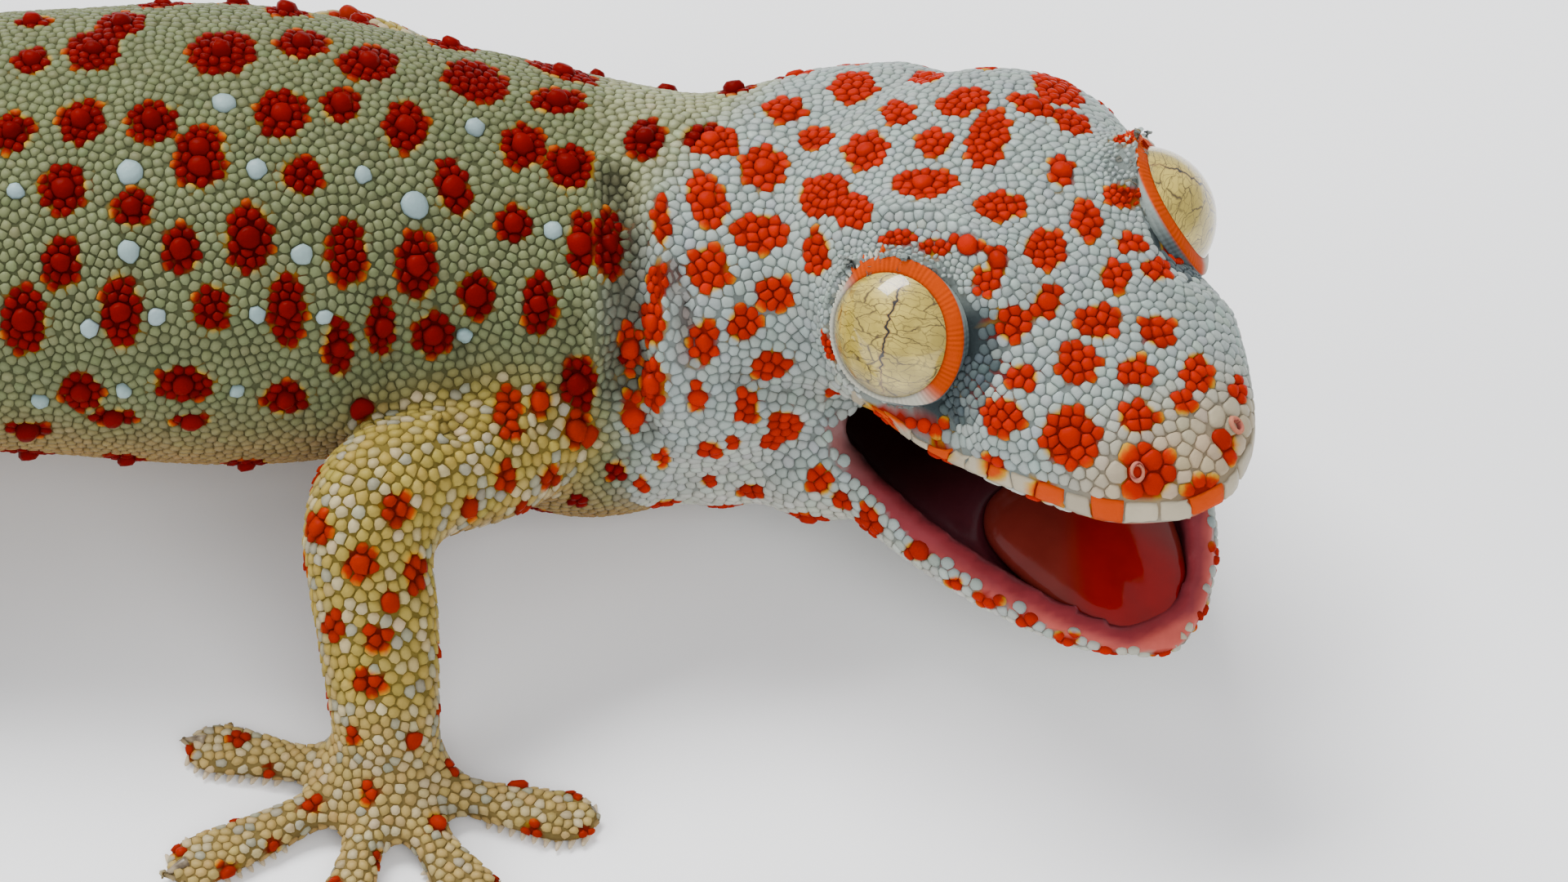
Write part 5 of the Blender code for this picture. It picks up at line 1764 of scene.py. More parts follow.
@dataclass(frozen=True)
class LipRow:
    """A row of flat shields along a lip, round the front and down both sides.

    Attributes:
        node: The node that it is on.
        line: The lip's stations along one side, from the rear to the middle of the front.
        lean: How far outwards and upwards a step across the row goes.
        clear: How far outwards and upwards of the skin the row is laid before it lands on it.
        start: How far across the row the shields begin.
        tall: Their size across the row.
        narrow: Width of the rearmost one.
        wide: Width of the foremost ones.
        height: How far they stand above the skin.
    """

    node: str
    line: tuple[tuple[float, ...], ...]
    lean: tuple[float, float]
    clear: tuple[float, float]
    start: float
    tall: float
    narrow: float
    wide: float
    height: float

    def path(self) -> tuple[Array, Array]:
        """Give the stations along the whole lip and how far along it each lies."""
        right = np.array([(x, -y, z) for x, y, z in self.line])
        left = right[-2::-1] * np.array((1.0, -1.0, 1.0))
        path = np.concatenate((right, left))
        return path, np.concatenate(((0.0,), np.cumsum(np.linalg.norm(np.diff(path, axis=0), axis=1))))

    def seams(self) -> Array:
        """Give the places along the row where one shield meets the next."""
        half = self.path()[1][-1] / 2.0
        stops = [0.0]
        while stops[-1] < half:
            stops.append(stops[-1] + self.narrow + (self.wide - self.narrow) * stops[-1] / half)
        stops = np.array(stops) * half / (stops[-1] - 0.5 * self.wide)
        return np.concatenate((stops[:-1], 2.0 * half - stops[-2::-1]))

    def land(self, along: Array, across: Array, matrix: Matrix, skin: Skin) -> tuple[Array, Array]:
        """Lay places along and across the row on the skin.

        Args:
            along: How far along the lip.
            across: How far across the row.
            matrix: From the line's axes to the frame.
            skin: The skin.

        Returns:
            The points and the skin's normals there.
        """
        path, steps = self.path()
        spot = np.stack([np.interp(along, steps, path[:, axis]) for axis in range(3)], 1)
        ahead = np.stack([np.interp(along + 0.8, steps, path[:, axis]) for axis in range(3)], 1)
        behind = np.stack([np.interp(along - 0.8, steps, path[:, axis]) for axis in range(3)], 1)
        course = unit((ahead - behind) * np.array((1.0, 1.0, 0.0)))
        out = np.stack((course[:, 1], -course[:, 0], np.zeros(len(along))), 1)
        reach = self.clear[0] + across * self.lean[0]
        spot = spot + out * reach[:, None]
        spot[:, 2] += self.clear[1] + across * self.lean[1]
        hits = [skin.tree.find_nearest(Vector(point)) for point in moved(matrix, spot)]
        normals = [skin.normals[skin.faces[hit[2]]].mean(0) for hit in hits]
        return np.array([hit[0] for hit in hits]), unit(np.array(normals))

    def clear_way(self, matrix: Matrix, skin: Skin, coat: Coat) -> None:
        """Keep the ordinary scales off the row's ground.

        Args:
            matrix: From the line's axes to the frame.
            skin: The skin.
            coat: The coat, not yet thrown.
        """
        length = self.path()[1][-1]
        rows = max(1, round(self.tall / 0.85))
        for row in range(rows):
            along = np.arange(0.4, length, 0.8)
            across = np.full(len(along), self.start + self.tall * (row + 0.5) / rows)
            for place in self.land(along, across, matrix, skin)[0]:
                coat.fixed.append((place, 0.95, 0.0, 0, None))

    def build(self, matrix: Matrix, skin: Skin, marks: Markings, material: bpy.types.Material) -> None:
        """Make the row.

        Args:
            matrix: From the line's axes to the frame.
            skin: The skin.
            marks: The markings.
            material: The scales' finish.
        """
        rng = np.random.default_rng(31)
        cuts = np.array((-1.0, -0.9, -0.6, 0.0, 0.6, 0.9, 1.0))
        down, across = (part.ravel() for part in np.meshgrid(cuts, cuts, indexing="ij"))
        side = across * np.sqrt(1.0 - 0.09 * down**2) * 0.995
        rise = down * np.sqrt(1.0 - 0.09 * across**2) * 0.995
        level = np.interp(np.maximum(abs(across), abs(down)), (0.0, 0.6, 0.9, 1.0), (1.0, 0.97, 0.84, -0.7))
        seams = self.seams()
        middle, half = (seams[1:] + seams[:-1]) / 2.0, np.diff(seams) / 2.0
        slant = rng.normal(0.0, 0.12, len(seams))
        shift = np.where(side > 0.0, slant[1:, None], slant[:-1, None]) * np.abs(side)[None]
        along = middle[:, None] + half[:, None] * side[None] + shift * rise[None]
        tall = self.tall * rng.uniform(0.94, 1.06, len(middle))[:, None]
        places = self.start + tall * (0.5 + 0.5 * rise[None])
        points, normals = self.land(along.ravel(), places.ravel(), matrix, skin)
        points = points + normals * (np.tile(level, len(middle)) * self.height)[:, None]
        count = len(cuts) ** 2
        centres = points.reshape(-1, count, 3)[:, count // 2]
        near = marks.near(centres)
        spread = marks.reach(points, np.repeat(near, count, axis=0)).reshape(-1, count)
        reach = 0.6 * marks.reach(centres, near)[:, None] + 0.4 * spread
        ground = PLATE_WHITE * rng.normal(1.0, 0.05, (len(middle), 1))
        colours = marks.paint(np.repeat(ground[:, None], count, axis=1), reach, SPOT_LIP)
        # Painted shade: the shields' edges that sink below the skin are darkened, as shade in the seams between
        # them.
        colours = colours * np.where(level < 0.0, 0.45, 1.0)[None, :, None]
        quads = [(i * 7 + j, i * 7 + j + 1, i * 7 + j + 8, i * 7 + j + 7) for i in range(6) for j in range(6)]
        faces = (np.array(quads)[None] + (np.arange(len(middle)) * count)[:, None, None]).reshape(-1, 4)
        mesh = bpy.data.meshes.new("shields")
        mesh.from_pydata((points * MM).tolist(), [], faces.tolist())
        set_tint(mesh, colours.reshape(-1, 3).clip(0.0, 1.0))
        node = FLESH.index(self.node)
        roots = Coat.unwrap(centres, normals.reshape(-1, count, 3)[:, count // 2], node, skin)
        table = (roots[:, None] + np.stack((side, rise), 1)[None] * MAP_PATCH).reshape(-1, 2)
        layer = mesh.uv_layers.new(name=BAKE_MAP)
        layer.data.foreach_set("uv", table[faces.ravel()].ravel().astype(np.float32))
        body = bmesh.new()
        body.from_mesh(mesh)
        bmesh.ops.recalc_face_normals(body, faces=body.faces)
        body.to_mesh(mesh)
        body.free()
        add_piece(mesh, f"shields_{self.node}", "hide_head", material)


LIP_ROWS = (
    LipRow("head", UPPER_LIP[1:], (0.0, 1.0), (1.6, 0.0), 0.2, 2.85, 1.4, 2.7, 0.16),
)


Socket = bpy.types.NodeSocket


class Graph:
    """A material's nodes, made and linked with little writing."""

    def __init__(self, name: str) -> None:
        """Start a material with its shader."""
        self.material = bpy.data.materials.new(name)
        self.material.use_nodes = True
        self.tree = self.material.node_tree
        self.shader = self.tree.nodes["Principled BSDF"]

    def put(self, kind: str, inputs: dict | None = None, **settings) -> bpy.types.Node:
        """Add a node.

        Args:
            kind: The node's type, without its usual prefix.
            inputs: Values or sockets for its inputs, by name or number.
            settings: The node's own settings.

        Returns:
            The node.
        """
        node = self.tree.nodes.new("ShaderNode" + kind)
        for key, value in settings.items():
            setattr(node, key, value)
        for key, value in (inputs or {}).items():
            if isinstance(value, bpy.types.NodeSocket):
                self.tree.links.new(value, node.inputs[key])
            else:
                node.inputs[key].default_value = value
        return node

    def sum(self, operation: str, first: Socket | float, second: Socket | float = 0.0) -> Socket:
        """Add a Math node and give its result."""
        return self.put("Math", {0: first, 1: second}, operation=operation).outputs[0]

    def step(self, value: Socket, low: float, high: float) -> Socket:
        """Rise from 0 to 1 between two values."""
        inputs = {"Value": value, "From Min": low, "From Max": high}
        return self.put("MapRange", inputs, interpolation_type="SMOOTHSTEP").outputs["Result"]

    def mix(self, share: Socket | float, first: Socket | tuple, second: Socket | tuple,
            kind: str = "MIX") -> Socket:
        """Mix two colours."""
        node = self.tree.nodes.new("ShaderNodeMix")
        node.data_type = "RGBA"
        node.blend_type = kind
        for index, value in ((0, share), (6, first), (7, second)):
            if isinstance(value, bpy.types.NodeSocket):
                self.tree.links.new(value, node.inputs[index])
            else:
                node.inputs[index].default_value = value
        return node.outputs[2]

    def shade(self, **inputs) -> None:
        """Set or link the shader's inputs, with spaces written as underscores."""
        for key, value in inputs.items():
            socket = self.shader.inputs[key.replace("_", " ")]
            if isinstance(value, bpy.types.NodeSocket):
                self.tree.links.new(value, socket)
            else:
                socket.default_value = value

    def bump(self, height: Socket, strength: float, distance: float) -> Socket:
        """Turn a height into a normal."""
        inputs = {"Strength": strength, "Distance": distance, "Height": height}
        return self.put("Bump", inputs).outputs["Normal"]


@dataclass(frozen=True)
class HideFinish:
    """A finish that takes its colour from the hide's own markings.

    Attributes:
        name: The material's name.
        roughness: Lowest roughness.
        spread: How much rougher its roughest places are.
        shine: Strength of its gloss where it is pale, red scales being duller.
        grain: Size of its fine grain, as cells a metre.
        relief: Strength of the grain's relief.
        mottle: How far the colour varies.
    """

    name: str
    roughness: float
    spread: float
    shine: float
    grain: float
    relief: float
    mottle: float

    def make(self) -> bpy.types.Material:
        """Make the material."""
        graph = Graph(self.name)
        colour = graph.put("Attribute", attribute_name=TINT).outputs["Color"]
        place = graph.put("TexCoord").outputs["Object"]
        broad = graph.put("TexNoise", {"Vector": place, "Scale": 330.0, "Detail": 3.0}).outputs["Fac"]
        fine = graph.put("TexNoise", {"Vector": place, "Scale": self.grain, "Detail": 4.0}).outputs["Fac"]
        dark = graph.mix(0.5, colour, (1.0 - self.mottle,) * 3 + (1.0,), "MULTIPLY")
        graph.shade(Base_Color=graph.mix(graph.step(broad, 0.35, 0.65), colour, dark))
        inputs = {"Value": fine, "To Min": self.roughness, "To Max": self.roughness + self.spread}
        graph.shade(Roughness=graph.put("MapRange", inputs).outputs["Result"])
        blue = graph.put("SeparateColor", {0: colour}).outputs["Blue"]
        inputs = {"Value": blue, "From Max": 0.3, "To Min": self.shine * 0.12, "To Max": self.shine}
        shine = graph.put("MapRange", inputs).outputs["Result"]
        graph.shade(Normal=graph.bump(fine, self.relief, 0.0002), Specular_IOR_Level=shine)
        return graph.material


@dataclass(frozen=True)
class WetFinish:
    """A wet lining or tongue, its colour from the surface's own tint.

    Attributes:
        name: The material's name.
        roughness: Roughness under the wet film.
        film: Roughness of the film.
        grain: Size of its relief, as cells a metre.
        relief: Strength of the relief.
        gloss: Strength of the film.
    """

    name: str
    roughness: float
    film: float
    grain: float
    relief: float
    gloss: float

    def make(self) -> bpy.types.Material:
        """Make the material."""
        graph = Graph(self.name)
        colour = graph.put("Attribute", attribute_name=TINT).outputs["Color"]
        place = graph.put("TexCoord").outputs["Object"]
        broad = graph.put("TexNoise", {"Vector": place, "Scale": 420.0, "Detail": 4.0}).outputs["Fac"]
        fine = graph.put("TexNoise", {"Vector": place, "Scale": self.grain, "Detail": 3.0}).outputs["Fac"]
        dark = graph.mix(0.35, colour, (0.55, 0.4, 0.4, 1.0), "MULTIPLY")
        graph.shade(Base_Color=graph.mix(graph.step(broad, 0.35, 0.75), colour, dark))
        inputs = {"Value": fine, "To Min": self.roughness, "To Max": self.roughness + 0.12}
        graph.shade(Roughness=graph.put("MapRange", inputs).outputs["Result"])
        graph.shade(Normal=graph.bump(fine, self.relief, 0.0002), Coat_Weight=self.gloss,
                    Coat_Roughness=self.film, Specular_IOR_Level=0.1)
        return graph.material


@dataclass(frozen=True)
class IrisFinish:
    """The golden iris with its dark veins and wavy slit.

    Attributes:
        name: The material's name.
        half_length: Half the slit's length, as a share of half the eyeball's turn.
        half_width: Half the slit's width, on the same scale.
        gold: The iris's pale colour.
        olive: Its darker colour.
        vein: The veins' colour.
    """

    name: str = "iris"
    half_length: float = 0.215
    half_width: float = 0.0032
    gold: tuple[float, ...] = (*tint(190, 168, 74), 1.0)
    olive: tuple[float, ...] = (*tint(160, 140, 54), 1.0)
    vein: tuple[float, ...] = (*tint(50, 30, 14), 1.0)

    def make(self) -> bpy.types.Material:
        """Make the material."""
        graph = Graph(self.name)
        flat = graph.put("UVMap", uv_map="iris").outputs["UV"]
        parts = graph.put("SeparateXYZ", {0: flat})
        across = graph.sum("SUBTRACT", parts.outputs["X"], 0.5)
        along = graph.sum("SUBTRACT", parts.outputs["Y"], 0.5)
        inputs = {"W": along, "Scale": 26.0, "Detail": 1.0}
        wave = graph.put("TexNoise", inputs, noise_dimensions="1D").outputs["Fac"]
        shifted = graph.sum("ADD", across, graph.sum("MULTIPLY", graph.sum("SUBTRACT", wave, 0.5), 0.05))
        distance = graph.sum("ABSOLUTE", shifted)
        pulse = graph.sum("COSINE", graph.sum("MULTIPLY", along, 52.0))
        pulse = graph.sum("POWER", graph.sum("MAXIMUM", pulse, 0.0), 10.0)
        width = graph.sum("ADD", graph.sum("MULTIPLY", pulse, 0.0055), self.half_width)
        length = graph.sum("ABSOLUTE", along)
        width = graph.sum("MULTIPLY", width, graph.step(length, self.half_length, self.half_length * 0.8))
        slit = graph.step(graph.sum("SUBTRACT", distance, width), 0.0035, -0.001)
        warp = graph.put("TexNoise", {"Vector": flat, "Scale": 10.0, "Detail": 4.0}).outputs["Color"]
        warp = graph.put("VectorMath", {0: warp, 1: (0.5, 0.5, 0.5)}, operation="SUBTRACT").outputs[0]
        warp = graph.put("VectorMath", {0: warp, 1: (0.09, 0.09, 0.0)}, operation="MULTIPLY").outputs[0]
        bent = graph.put("VectorMath", {0: flat, 1: warp}, operation="ADD").outputs[0]
        veins = None
        for scale, stretch, low in ((15.0, 0.3, 0.04), (34.0, 0.42, 0.06)):
            factors = {0: bent, 1: (scale * stretch, scale, 1.0)}
            spaced = graph.put("VectorMath", factors, operation="MULTIPLY").outputs[0]
            edge = graph.put("TexVoronoi", {"Vector": spaced, "Scale": 1.0}, feature="DISTANCE_TO_EDGE")
            line = graph.step(edge.outputs["Distance"], low, 0.0)
            veins = line if veins is None else graph.sum("MAXIMUM", veins, graph.sum("MULTIPLY", line, 0.6))
        patches = graph.put("TexNoise", {"Vector": flat, "Scale": 7.0, "Detail": 5.0}).outputs["Fac"]
        gold = graph.mix(graph.step(patches, 0.38, 0.66), self.olive, self.gold)
        rim = graph.put("VectorMath", {0: flat, 1: (0.5, 0.5, 0.0)}, operation="DISTANCE").outputs["Value"]
        gold = graph.mix(graph.step(rim, 0.26, 0.42), gold, (*tint(112, 98, 52), 1.0))
        dark = graph.mix(graph.sum("MULTIPLY", veins, 0.92), gold, self.vein)
        fringe = graph.step(graph.sum("SUBTRACT", distance, width), 0.012, 0.002)
        dark = graph.mix(graph.sum("MULTIPLY", fringe, 0.45), dark, (*tint(120, 70, 36), 1.0))
        graph.shade(Base_Color=graph.mix(slit, dark, (0.004, 0.002, 0.002, 1.0)))
        relief = graph.sum("SUBTRACT", patches, graph.sum("MULTIPLY", veins, 0.3))
        graph.shade(Roughness=0.32, Normal=graph.bump(relief, 0.12, 0.0002))
        graph.shade(Coat_Weight=1.0, Coat_Roughness=0.02)
        return graph.material


@dataclass(frozen=True)
class HornFinish:
    """The dull horn of the claws.

    Attributes:
        name: The material's name.
        pale: Colour at its palest.
        dark: Colour at its darkest.
    """

    name: str = "horn"
    pale: tuple[float, ...] = (*tint(150, 134, 108), 1.0)
    dark: tuple[float, ...] = (*tint(64, 52, 40), 1.0)

    def make(self) -> bpy.types.Material:
        """Make the material."""
        graph = Graph(self.name)
        place = graph.put("TexCoord").outputs["Object"]
        grain = graph.put("TexNoise", {"Vector": place, "Scale": 900.0, "Detail": 3.0}).outputs["Fac"]
        graph.shade(Base_Color=graph.mix(graph.step(grain, 0.3, 0.7), self.pale, self.dark))
        inputs = {"Value": grain, "To Min": 0.25, "To Max": 0.45}
        graph.shade(Roughness=graph.put("MapRange", inputs).outputs["Result"])
        graph.shade(Normal=graph.bump(grain, 0.2, 0.0001))
        return graph.material


TONGUE_RED = tint(122, 0, 0)
TONGUE_BROWN_AND_SHADE = tint(98, 30, 24)


@dataclass
class Tongue:
    """The broad wet tongue on the floor of the mouth.

    Attributes:
        pose: The head's pose.
        smoothing: Rounds of smoothing.
        groove: Depth of the groove along its middle.
    """

    pose: HeadPose
    smoothing: int = 10
    groove: float = 0.12

    def build(self, material: bpy.types.Material) -> None:
        """Make the tongue in place of its solid.

        Args:
            material: The wet finish.
        """
        body = welded_copy("tongue")
        bmesh.ops.triangulate(body, faces=body.faces)
        bmesh.ops.subdivide_edges(body, edges=body.edges, cuts=3, use_grid_fill=True)
        for _ in range(self.smoothing):
            bmesh.ops.smooth_vert(
                body, verts=body.verts, factor=0.5, use_axis_x=True, use_axis_y=True, use_axis_z=True)
        bmesh.ops.scale(body, vec=(1.0 / MM,) * 3, verts=body.verts)
        body.normal_update()
        back = self.pose.jaw().inverted()
        colours = []
        for vert in body.verts:
            local = back @ vert.co
            upper = max(0.0, (back.to_3x3() @ vert.normal).z)
            vert.co -= vert.normal * self.groove * upper * math.exp(-((local.y / 0.9) ** 2))
            # The tongue is red at the front of its middle and browner at its rear and sides; the brown is partly
            # its own colour and partly painted shade under the upper jaw.
            red = float(ramp(np.array(0.51 * local.x - 0.86 * abs(local.y)), 1.6, 4.8))
            colours.append(TONGUE_RED * red + TONGUE_BROWN_AND_SHADE * (1.0 - red))
        mesh = finish_bmesh(body, "wet_tongue")
        set_tint(mesh, np.array(colours))
        piece = add_piece(mesh, "wet_tongue", "tongue", material)
        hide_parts("tongue")


@dataclass(frozen=True)
class FootPlan:
    """Where one foot stands and how it points, from the pose's origin.

    Attributes:
        name: The foot's node.
        wrist: Where the limb ends above it.
        heading: Direction that its middle toe points.
        side: 1 for the left, -1 for the right.
        scale: Its size against a hand's.
    """

    name: str
    wrist: tuple[float, float]
    heading: float
    side: int
    scale: float


@dataclass
class Claws:
    """The small curved claws and the pads' ridges under the toes.

    Attributes:
        angles: Bearing of each toe from the foot's middle.
        lengths: Length of each toe.
        length: Length of a claw.
        radius: Radius of a claw's root.
        height: Height of its root above the floor.
        droop: How far its tip bends down.
    """

    angles: tuple[float, ...] = (93.0, 48.0, 3.0, -47.0, -93.0)
    lengths: tuple[float, ...] = (15.6, 15.8, 16.8, 17.0, 15.2)
    palm_shift: float = 1.2
    length: float = 2.2
    radius: float = 0.5
    height: float = 1.0
    droop: float = 0.5
    root_share: float = 0.92
    ridges: int = 9
    ridge_span: tuple[float, float] = (0.5, 0.94)

    def toes(self, plan: FootPlan, origin: Vector) -> list[tuple[Vector, Vector, float]]:
        """Give each toe's root, direction and length for a foot."""
        ahead = Vector((math.cos(plan.heading), math.sin(plan.heading), 0.0))
        root = origin + Vector((*plan.wrist, 0.0)) + ahead * self.palm_shift
        result = []
        for angle, length in zip(self.angles, self.lengths):
            bearing = plan.heading - plan.side * math.radians(angle)
            towards = Vector((math.cos(bearing), math.sin(bearing), 0.0))
            result.append((root, towards, length * plan.scale))
        return result

    def claw(self) -> bpy.types.Mesh:
        """Make one claw that points along Z and bends towards -X."""
        body = bmesh.new()
        bmesh.ops.create_cone(body, cap_ends=True, segments=12, radius1=self.radius, radius2=0.04,
                              depth=self.length)
        upright = [edge for edge in body.edges if abs(edge.verts[0].co.z - edge.verts[1].co.z) > 1.0]
        bmesh.ops.subdivide_edges(body, edges=upright, cuts=6, use_grid_fill=True)
        for vert in body.verts:
            share = vert.co.z / self.length + 0.5
            vert.co.x -= self.droop * share * share * self.length * 0.5
            vert.co.z -= self.droop * share * share * 0.4
        bmesh.ops.recalc_face_normals(body, faces=body.faces)
        mesh = bpy.data.meshes.new("claw")
        body.to_mesh(mesh)
        body.free()
        return mesh

    def make_claws(self, plan: FootPlan, origin: Vector, material: bpy.types.Material) -> None:
        """Make one foot's claws, on every toe but the first.

        Args:
            plan: The foot.
            origin: The pose's origin on the floor.
            material: The horn.
        """
        body = bmesh.new()
        pattern = self.claw()
        for root, towards, length in self.toes(plan, origin)[1:]:
            body.from_mesh(pattern)
            verts = list(body.verts)[-len(pattern.vertices):]
            start = root + towards * (length * self.root_share + self.length * 0.3)
            start.z = self.height
            sideways = Vector((0.0, 0.0, 1.0)).cross(towards)
            turn = Matrix((Vector((0.0, 0.0, 1.0)), -sideways, towards)).transposed().to_4x4()
            bmesh.ops.transform(body, matrix=Matrix.Translation(start) @ turn, verts=verts)
        name = f"claws_{plan.name}"
        add_piece(finish_bmesh(body, name), name, "hide_limb", material)

    def make_ridges(self, plan: FootPlan, origin: Vector, material: bpy.types.Material) -> None:
        """Make the ridges across the pads under one foot's toes."""
        body = bmesh.new()
        for root, towards, length in self.toes(plan, origin):
            low, high = self.ridge_span
            sideways = Vector((0.0, 0.0, 1.0)).cross(towards)
            turn = Matrix((towards, sideways, Vector((0.0, 0.0, 1.0)))).transposed().to_4x4()
            for index in range(self.ridges):
                share = low + (high - low) * index / (self.ridges - 1)
                half = plan.scale * float(np.interp(share, (0.38, 0.62, 0.84, 0.97), (1.5, 2.3, 2.9, 1.8)))
                centre = root + towards * (length * share)
                centre.z = 0.3
                matrix = Matrix.Translation(centre) @ turn @ Matrix.Diagonal((0.34, half, 0.28, 1.0))
                bmesh.ops.create_uvsphere(body, u_segments=16, v_segments=8, radius=1.0, matrix=matrix)
        mesh = finish_bmesh(body, f"pads_{plan.name}")
        set_tint(mesh, np.tile(tint(186, 168, 138), (len(mesh.vertices), 1)))
        add_piece(mesh, f"pads_{plan.name}", "hide_limb", material)


FEET = (
    FootPlan("hand_right", (-27.6, -34.0), math.radians(255.0), -1, 1.0),
    FootPlan("hand_left", (-37.0, 27.5), math.radians(108.0), 1, 1.0),
    FootPlan("foot_right", (-101.0, -43.5), math.radians(244.0), -1, 1.12),
    FootPlan("foot_left", (-105.0, 50.0), math.radians(112.0), 1, 1.12),
)


NOSTRIL_PALE = tint(172, 106, 82)
NOSTRIL_PINK = tint(172, 96, 84)
NOSTRIL_DEPTH_SHADE = tint(80, 28, 26)


@dataclass
class Nostrils:
    """The raised rim and the pink cup of each nostril.

    Attributes:
        radius: Radius of the hole.
        lip: Radius of the rounded rim.
        cup: Depth of the cup.
    """

    radius: float = 0.4
    lip: float = 0.15
    cup: float = 0.8

    def build(self, rims: list[tuple[Vector, Vector]], material: bpy.types.Material) -> None:
        """Spin both nostrils.

        Args:
            rims: Each nostril's middle and the way that it faces.
            material: Their finish.
        """
        body = bmesh.new()
        colours = []
        for middle, facing in rims:
            turn = facing.to_track_quat("Z", "Y").to_matrix().to_4x4()
            profile = [(0.0, -self.cup), (self.radius * 0.7, -self.cup * 0.85),
                       (self.radius * 0.95, -self.cup * 0.4)]
            for step in range(7):
                angle = math.pi - step * math.pi / 6.0
                out = self.radius + self.lip + self.lip * math.cos(angle)
                profile.append((out, self.lip * math.sin(angle)))
            profile.append((self.radius + self.lip * 2.3, -self.lip))
            before = set(body.verts)
            verts = [body.verts.new((x, 0.0, z)) for x, z in profile]
            edges = [body.edges.new(pair) for pair in zip(verts, verts[1:])]
            bmesh.ops.spin(body, geom=verts + edges, cent=(0.0, 0.0, 0.0), axis=(0.0, 0.0, 1.0),
                           dvec=(0.0, 0.0, 0.0), angle=math.tau, steps=28, use_merge=True,
                           use_duplicate=False)
            made = [vert for vert in body.verts if vert not in before]
            bmesh.ops.remove_doubles(body, verts=made, dist=1e-4)
            made = [vert for vert in body.verts if vert not in before]
            for vert in made:
                out = math.hypot(vert.co.x, vert.co.y)
                inner = float(ramp(np.array(out), self.radius + self.lip * 1.1, self.radius))
                # Painted shade: each cup darkens towards its bottom.
                deep = float(ramp(np.array(vert.co.z), 0.0, -self.cup * 0.8))
                shade = NOSTRIL_PALE * (1.0 - inner) + NOSTRIL_PINK * inner
                colours.append(shade * (1.0 - deep) + NOSTRIL_DEPTH_SHADE * deep)
                vert.co.x *= 0.72
            place = Matrix.Translation(middle + facing * 0.1) @ turn
            bmesh.ops.transform(body, matrix=place, verts=made)
        bmesh.ops.recalc_face_normals(body, faces=body.faces)
        mesh = finish_bmesh(body, "nostrils")
        set_tint(mesh, np.array(colours))
        add_piece(mesh, "nostrils", "hide_head", material)


class Light(Enum):
    """The studio's soft lights: place, aim, size and power."""

    KEY = ((-0.25, 0.55, 0.95), (0.0, 0.0, 0.0), 0.7, 20.0)
    FILL = ((0.35, -0.9, 0.7), (0.05, 0.0, 0.0), 0.9, 9.0)
    SIDE = ((-0.9, -0.1, 0.5), (0.0, 0.0, 0.0), 0.6, 6.5)


@dataclass(frozen=True)
class Studio:
    """The pale floor and the soft lights.

    Attributes:
        floor_size: Side of the floor, in metres.
        floor_colour: The floor's colour.
        sky: Colour and strength of the light from all round.
    """

    floor_size: float = 6.0
    floor_colour: tuple[float, ...] = (0.95, 0.95, 0.955, 1.0)
    sky: tuple[float, ...] = (0.93, 0.95, 1.0, 1.0)
    sky_strength: float = 0.7

    def make_floor(self) -> None:
        """Lay the floor."""
        body = bmesh.new()
        bmesh.ops.create_grid(body, x_segments=1, y_segments=1, size=self.floor_size / 2.0)
        mesh = bpy.data.meshes.new("floor")
        body.to_mesh(mesh)
        body.free()
        graph = Graph("floor")
        graph.shade(Base_Color=self.floor_colour, Roughness=0.7)
        mesh.materials.append(graph.material)
        floor = bpy.data.objects.new("floor", mesh)
        bpy.context.scene.collection.objects.link(floor)

    def make_lights(self) -> None:
        """Hang the lights and light the room all round."""
        for light in Light:
            place, aim, size, power = light.value
            data = bpy.data.lights.new(light.name.lower(), "AREA")
            data.shape = "RECTANGLE"
            data.size = size
            data.size_y = size * 0.7
            data.energy = power
            lamp = bpy.data.objects.new(light.name.lower(), data)
            lamp.location = place
            lamp.visible_glossy = light is Light.KEY
            lamp.rotation_euler = (Vector(place) - Vector(aim)).to_track_quat("Z", "Y").to_euler()
            bpy.context.scene.collection.objects.link(lamp)
        world = bpy.data.worlds.new("studio")
        world.use_nodes = True
        world.node_tree.nodes["Background"].inputs["Color"].default_value = self.sky
        world.node_tree.nodes["Background"].inputs["Strength"].default_value = self.sky_strength
        bpy.context.scene.world = world


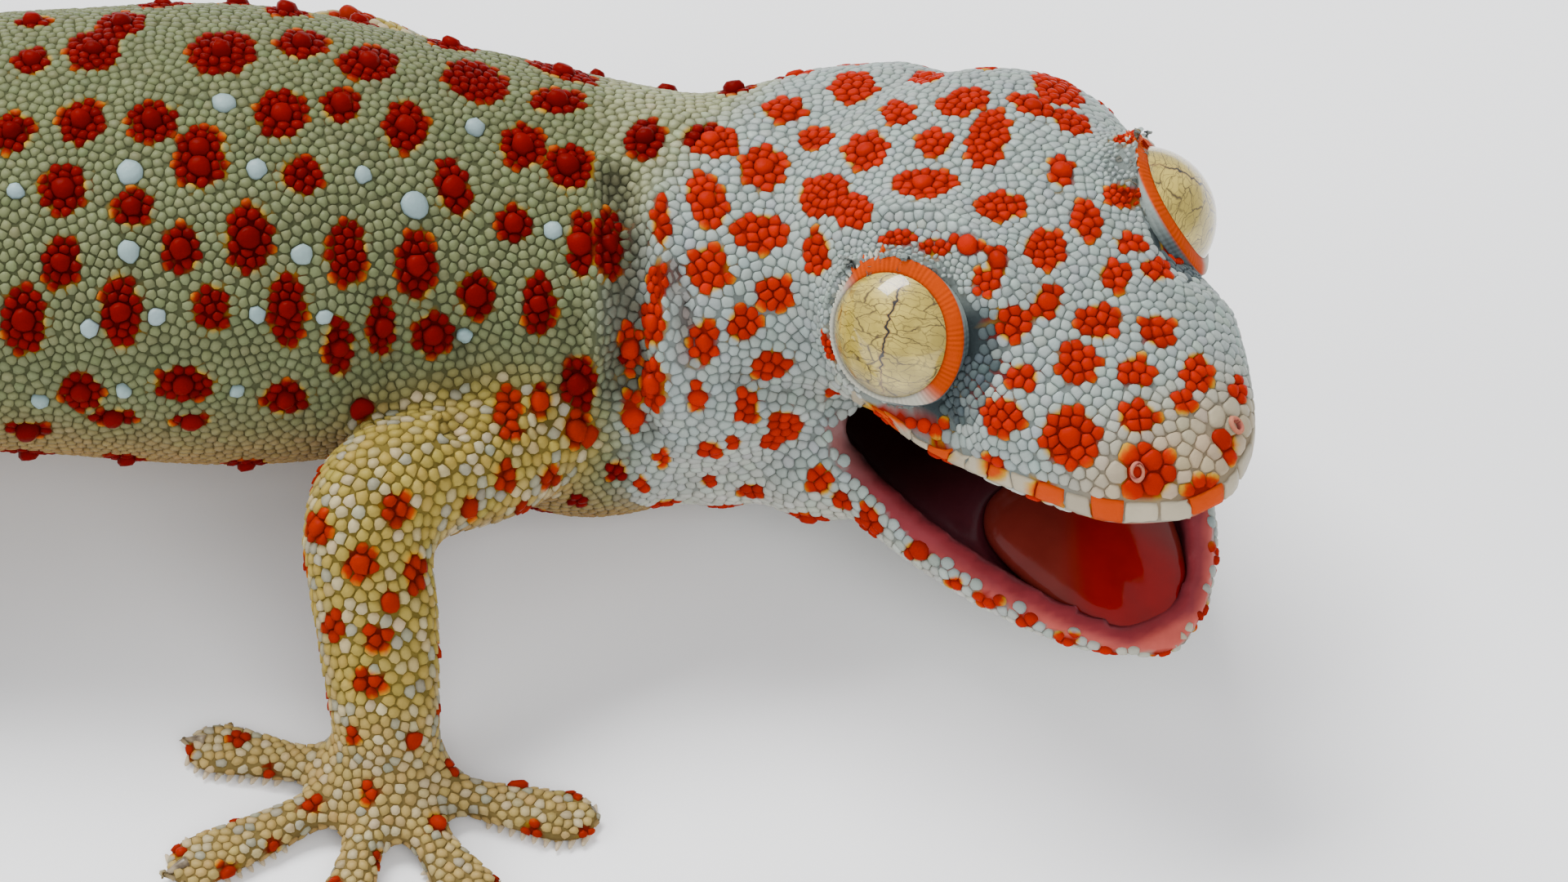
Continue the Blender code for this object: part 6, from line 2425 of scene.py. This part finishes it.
def main() -> None:
    """Build the model in order and report each piece."""
    logging.basicConfig(level=logging.INFO, format="%(message)s", stream=sys.stdout)
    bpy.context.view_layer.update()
    pose = HeadPose()
    view = View(pose.origin())
    view.make_camera()
    studio = Studio()
    studio.make_floor()
    studio.make_lights()
    scales = HideFinish("scales", 0.36, 0.15, 0.22, 2600.0, 0.25, 0.2).make()
    finishes = {slot: scales for slot in ("hide_head", "hide_body", "hide_limb")}
    grooves = HideFinish("grooves", 0.6, 0.3, 0.08, 2600.0, 0.5, 0.4).make()
    soft = HideFinish("lid_hide", 0.4, 0.2, 0.16, 3200.0, 0.3, 0.2).make()
    lining = WetFinish("wet_lining", 0.4, 0.22, 900.0, 0.35, 0.3).make()
    flesh = WetFinish("wet_flesh", 0.3, 0.09, 520.0, 0.4, 0.55).make()
    eyes = Eyes()
    eyes.locate(pose)
    mouth = Mouth(pose)
    skin = Skin()
    skin.build(view, pose, mouth, eyes)
    marks = Markings()
    marks.read(skin, view)
    marks.scatter(skin, view)
    marks.index()
    ground = skin.ground(pose, eyes)
    spot = of_kinds("spot")[skin.kind]
    marked = marks.paint(ground, marks.reach(skin.points, marks.near(skin.points, 5)), spot)
    skin.dress(marked, mouth, grooves, lining)
    coat = Coat()
    lips = {"head": pose.matrix(), "lower_jaw": pose.jaw()}
    spacing = coat.spacing_field(skin, pose, eyes)
    for row in LIP_ROWS:
        row.clear_way(lips[row.node], skin, coat)
    coat.keep_places(skin, view, marks)
    coat.build(skin, spacing, marks)
    coat.dress(skin, ground, marks, finishes)
    for row in LIP_ROWS:
        row.build(lips[row.node], skin, marks, scales)
    iris = IrisFinish().make()
    for eye in eyes.frames.values():
        eyes.make_ball(eye, pose, iris)
        eyes.make_lid(eye, skin, soft)
        eyes.make_beads(eye, soft)
    Tongue(pose).build(flesh)
    Nostrils().build(skin.nostrils, soft)
    claws = Claws()
    horn = HornFinish().make()
    for plan in FEET:
        claws.make_claws(plan, pose.origin(), horn)
        claws.make_ridges(plan, pose.origin(), soft)


if __name__ == "__main__":
    main()
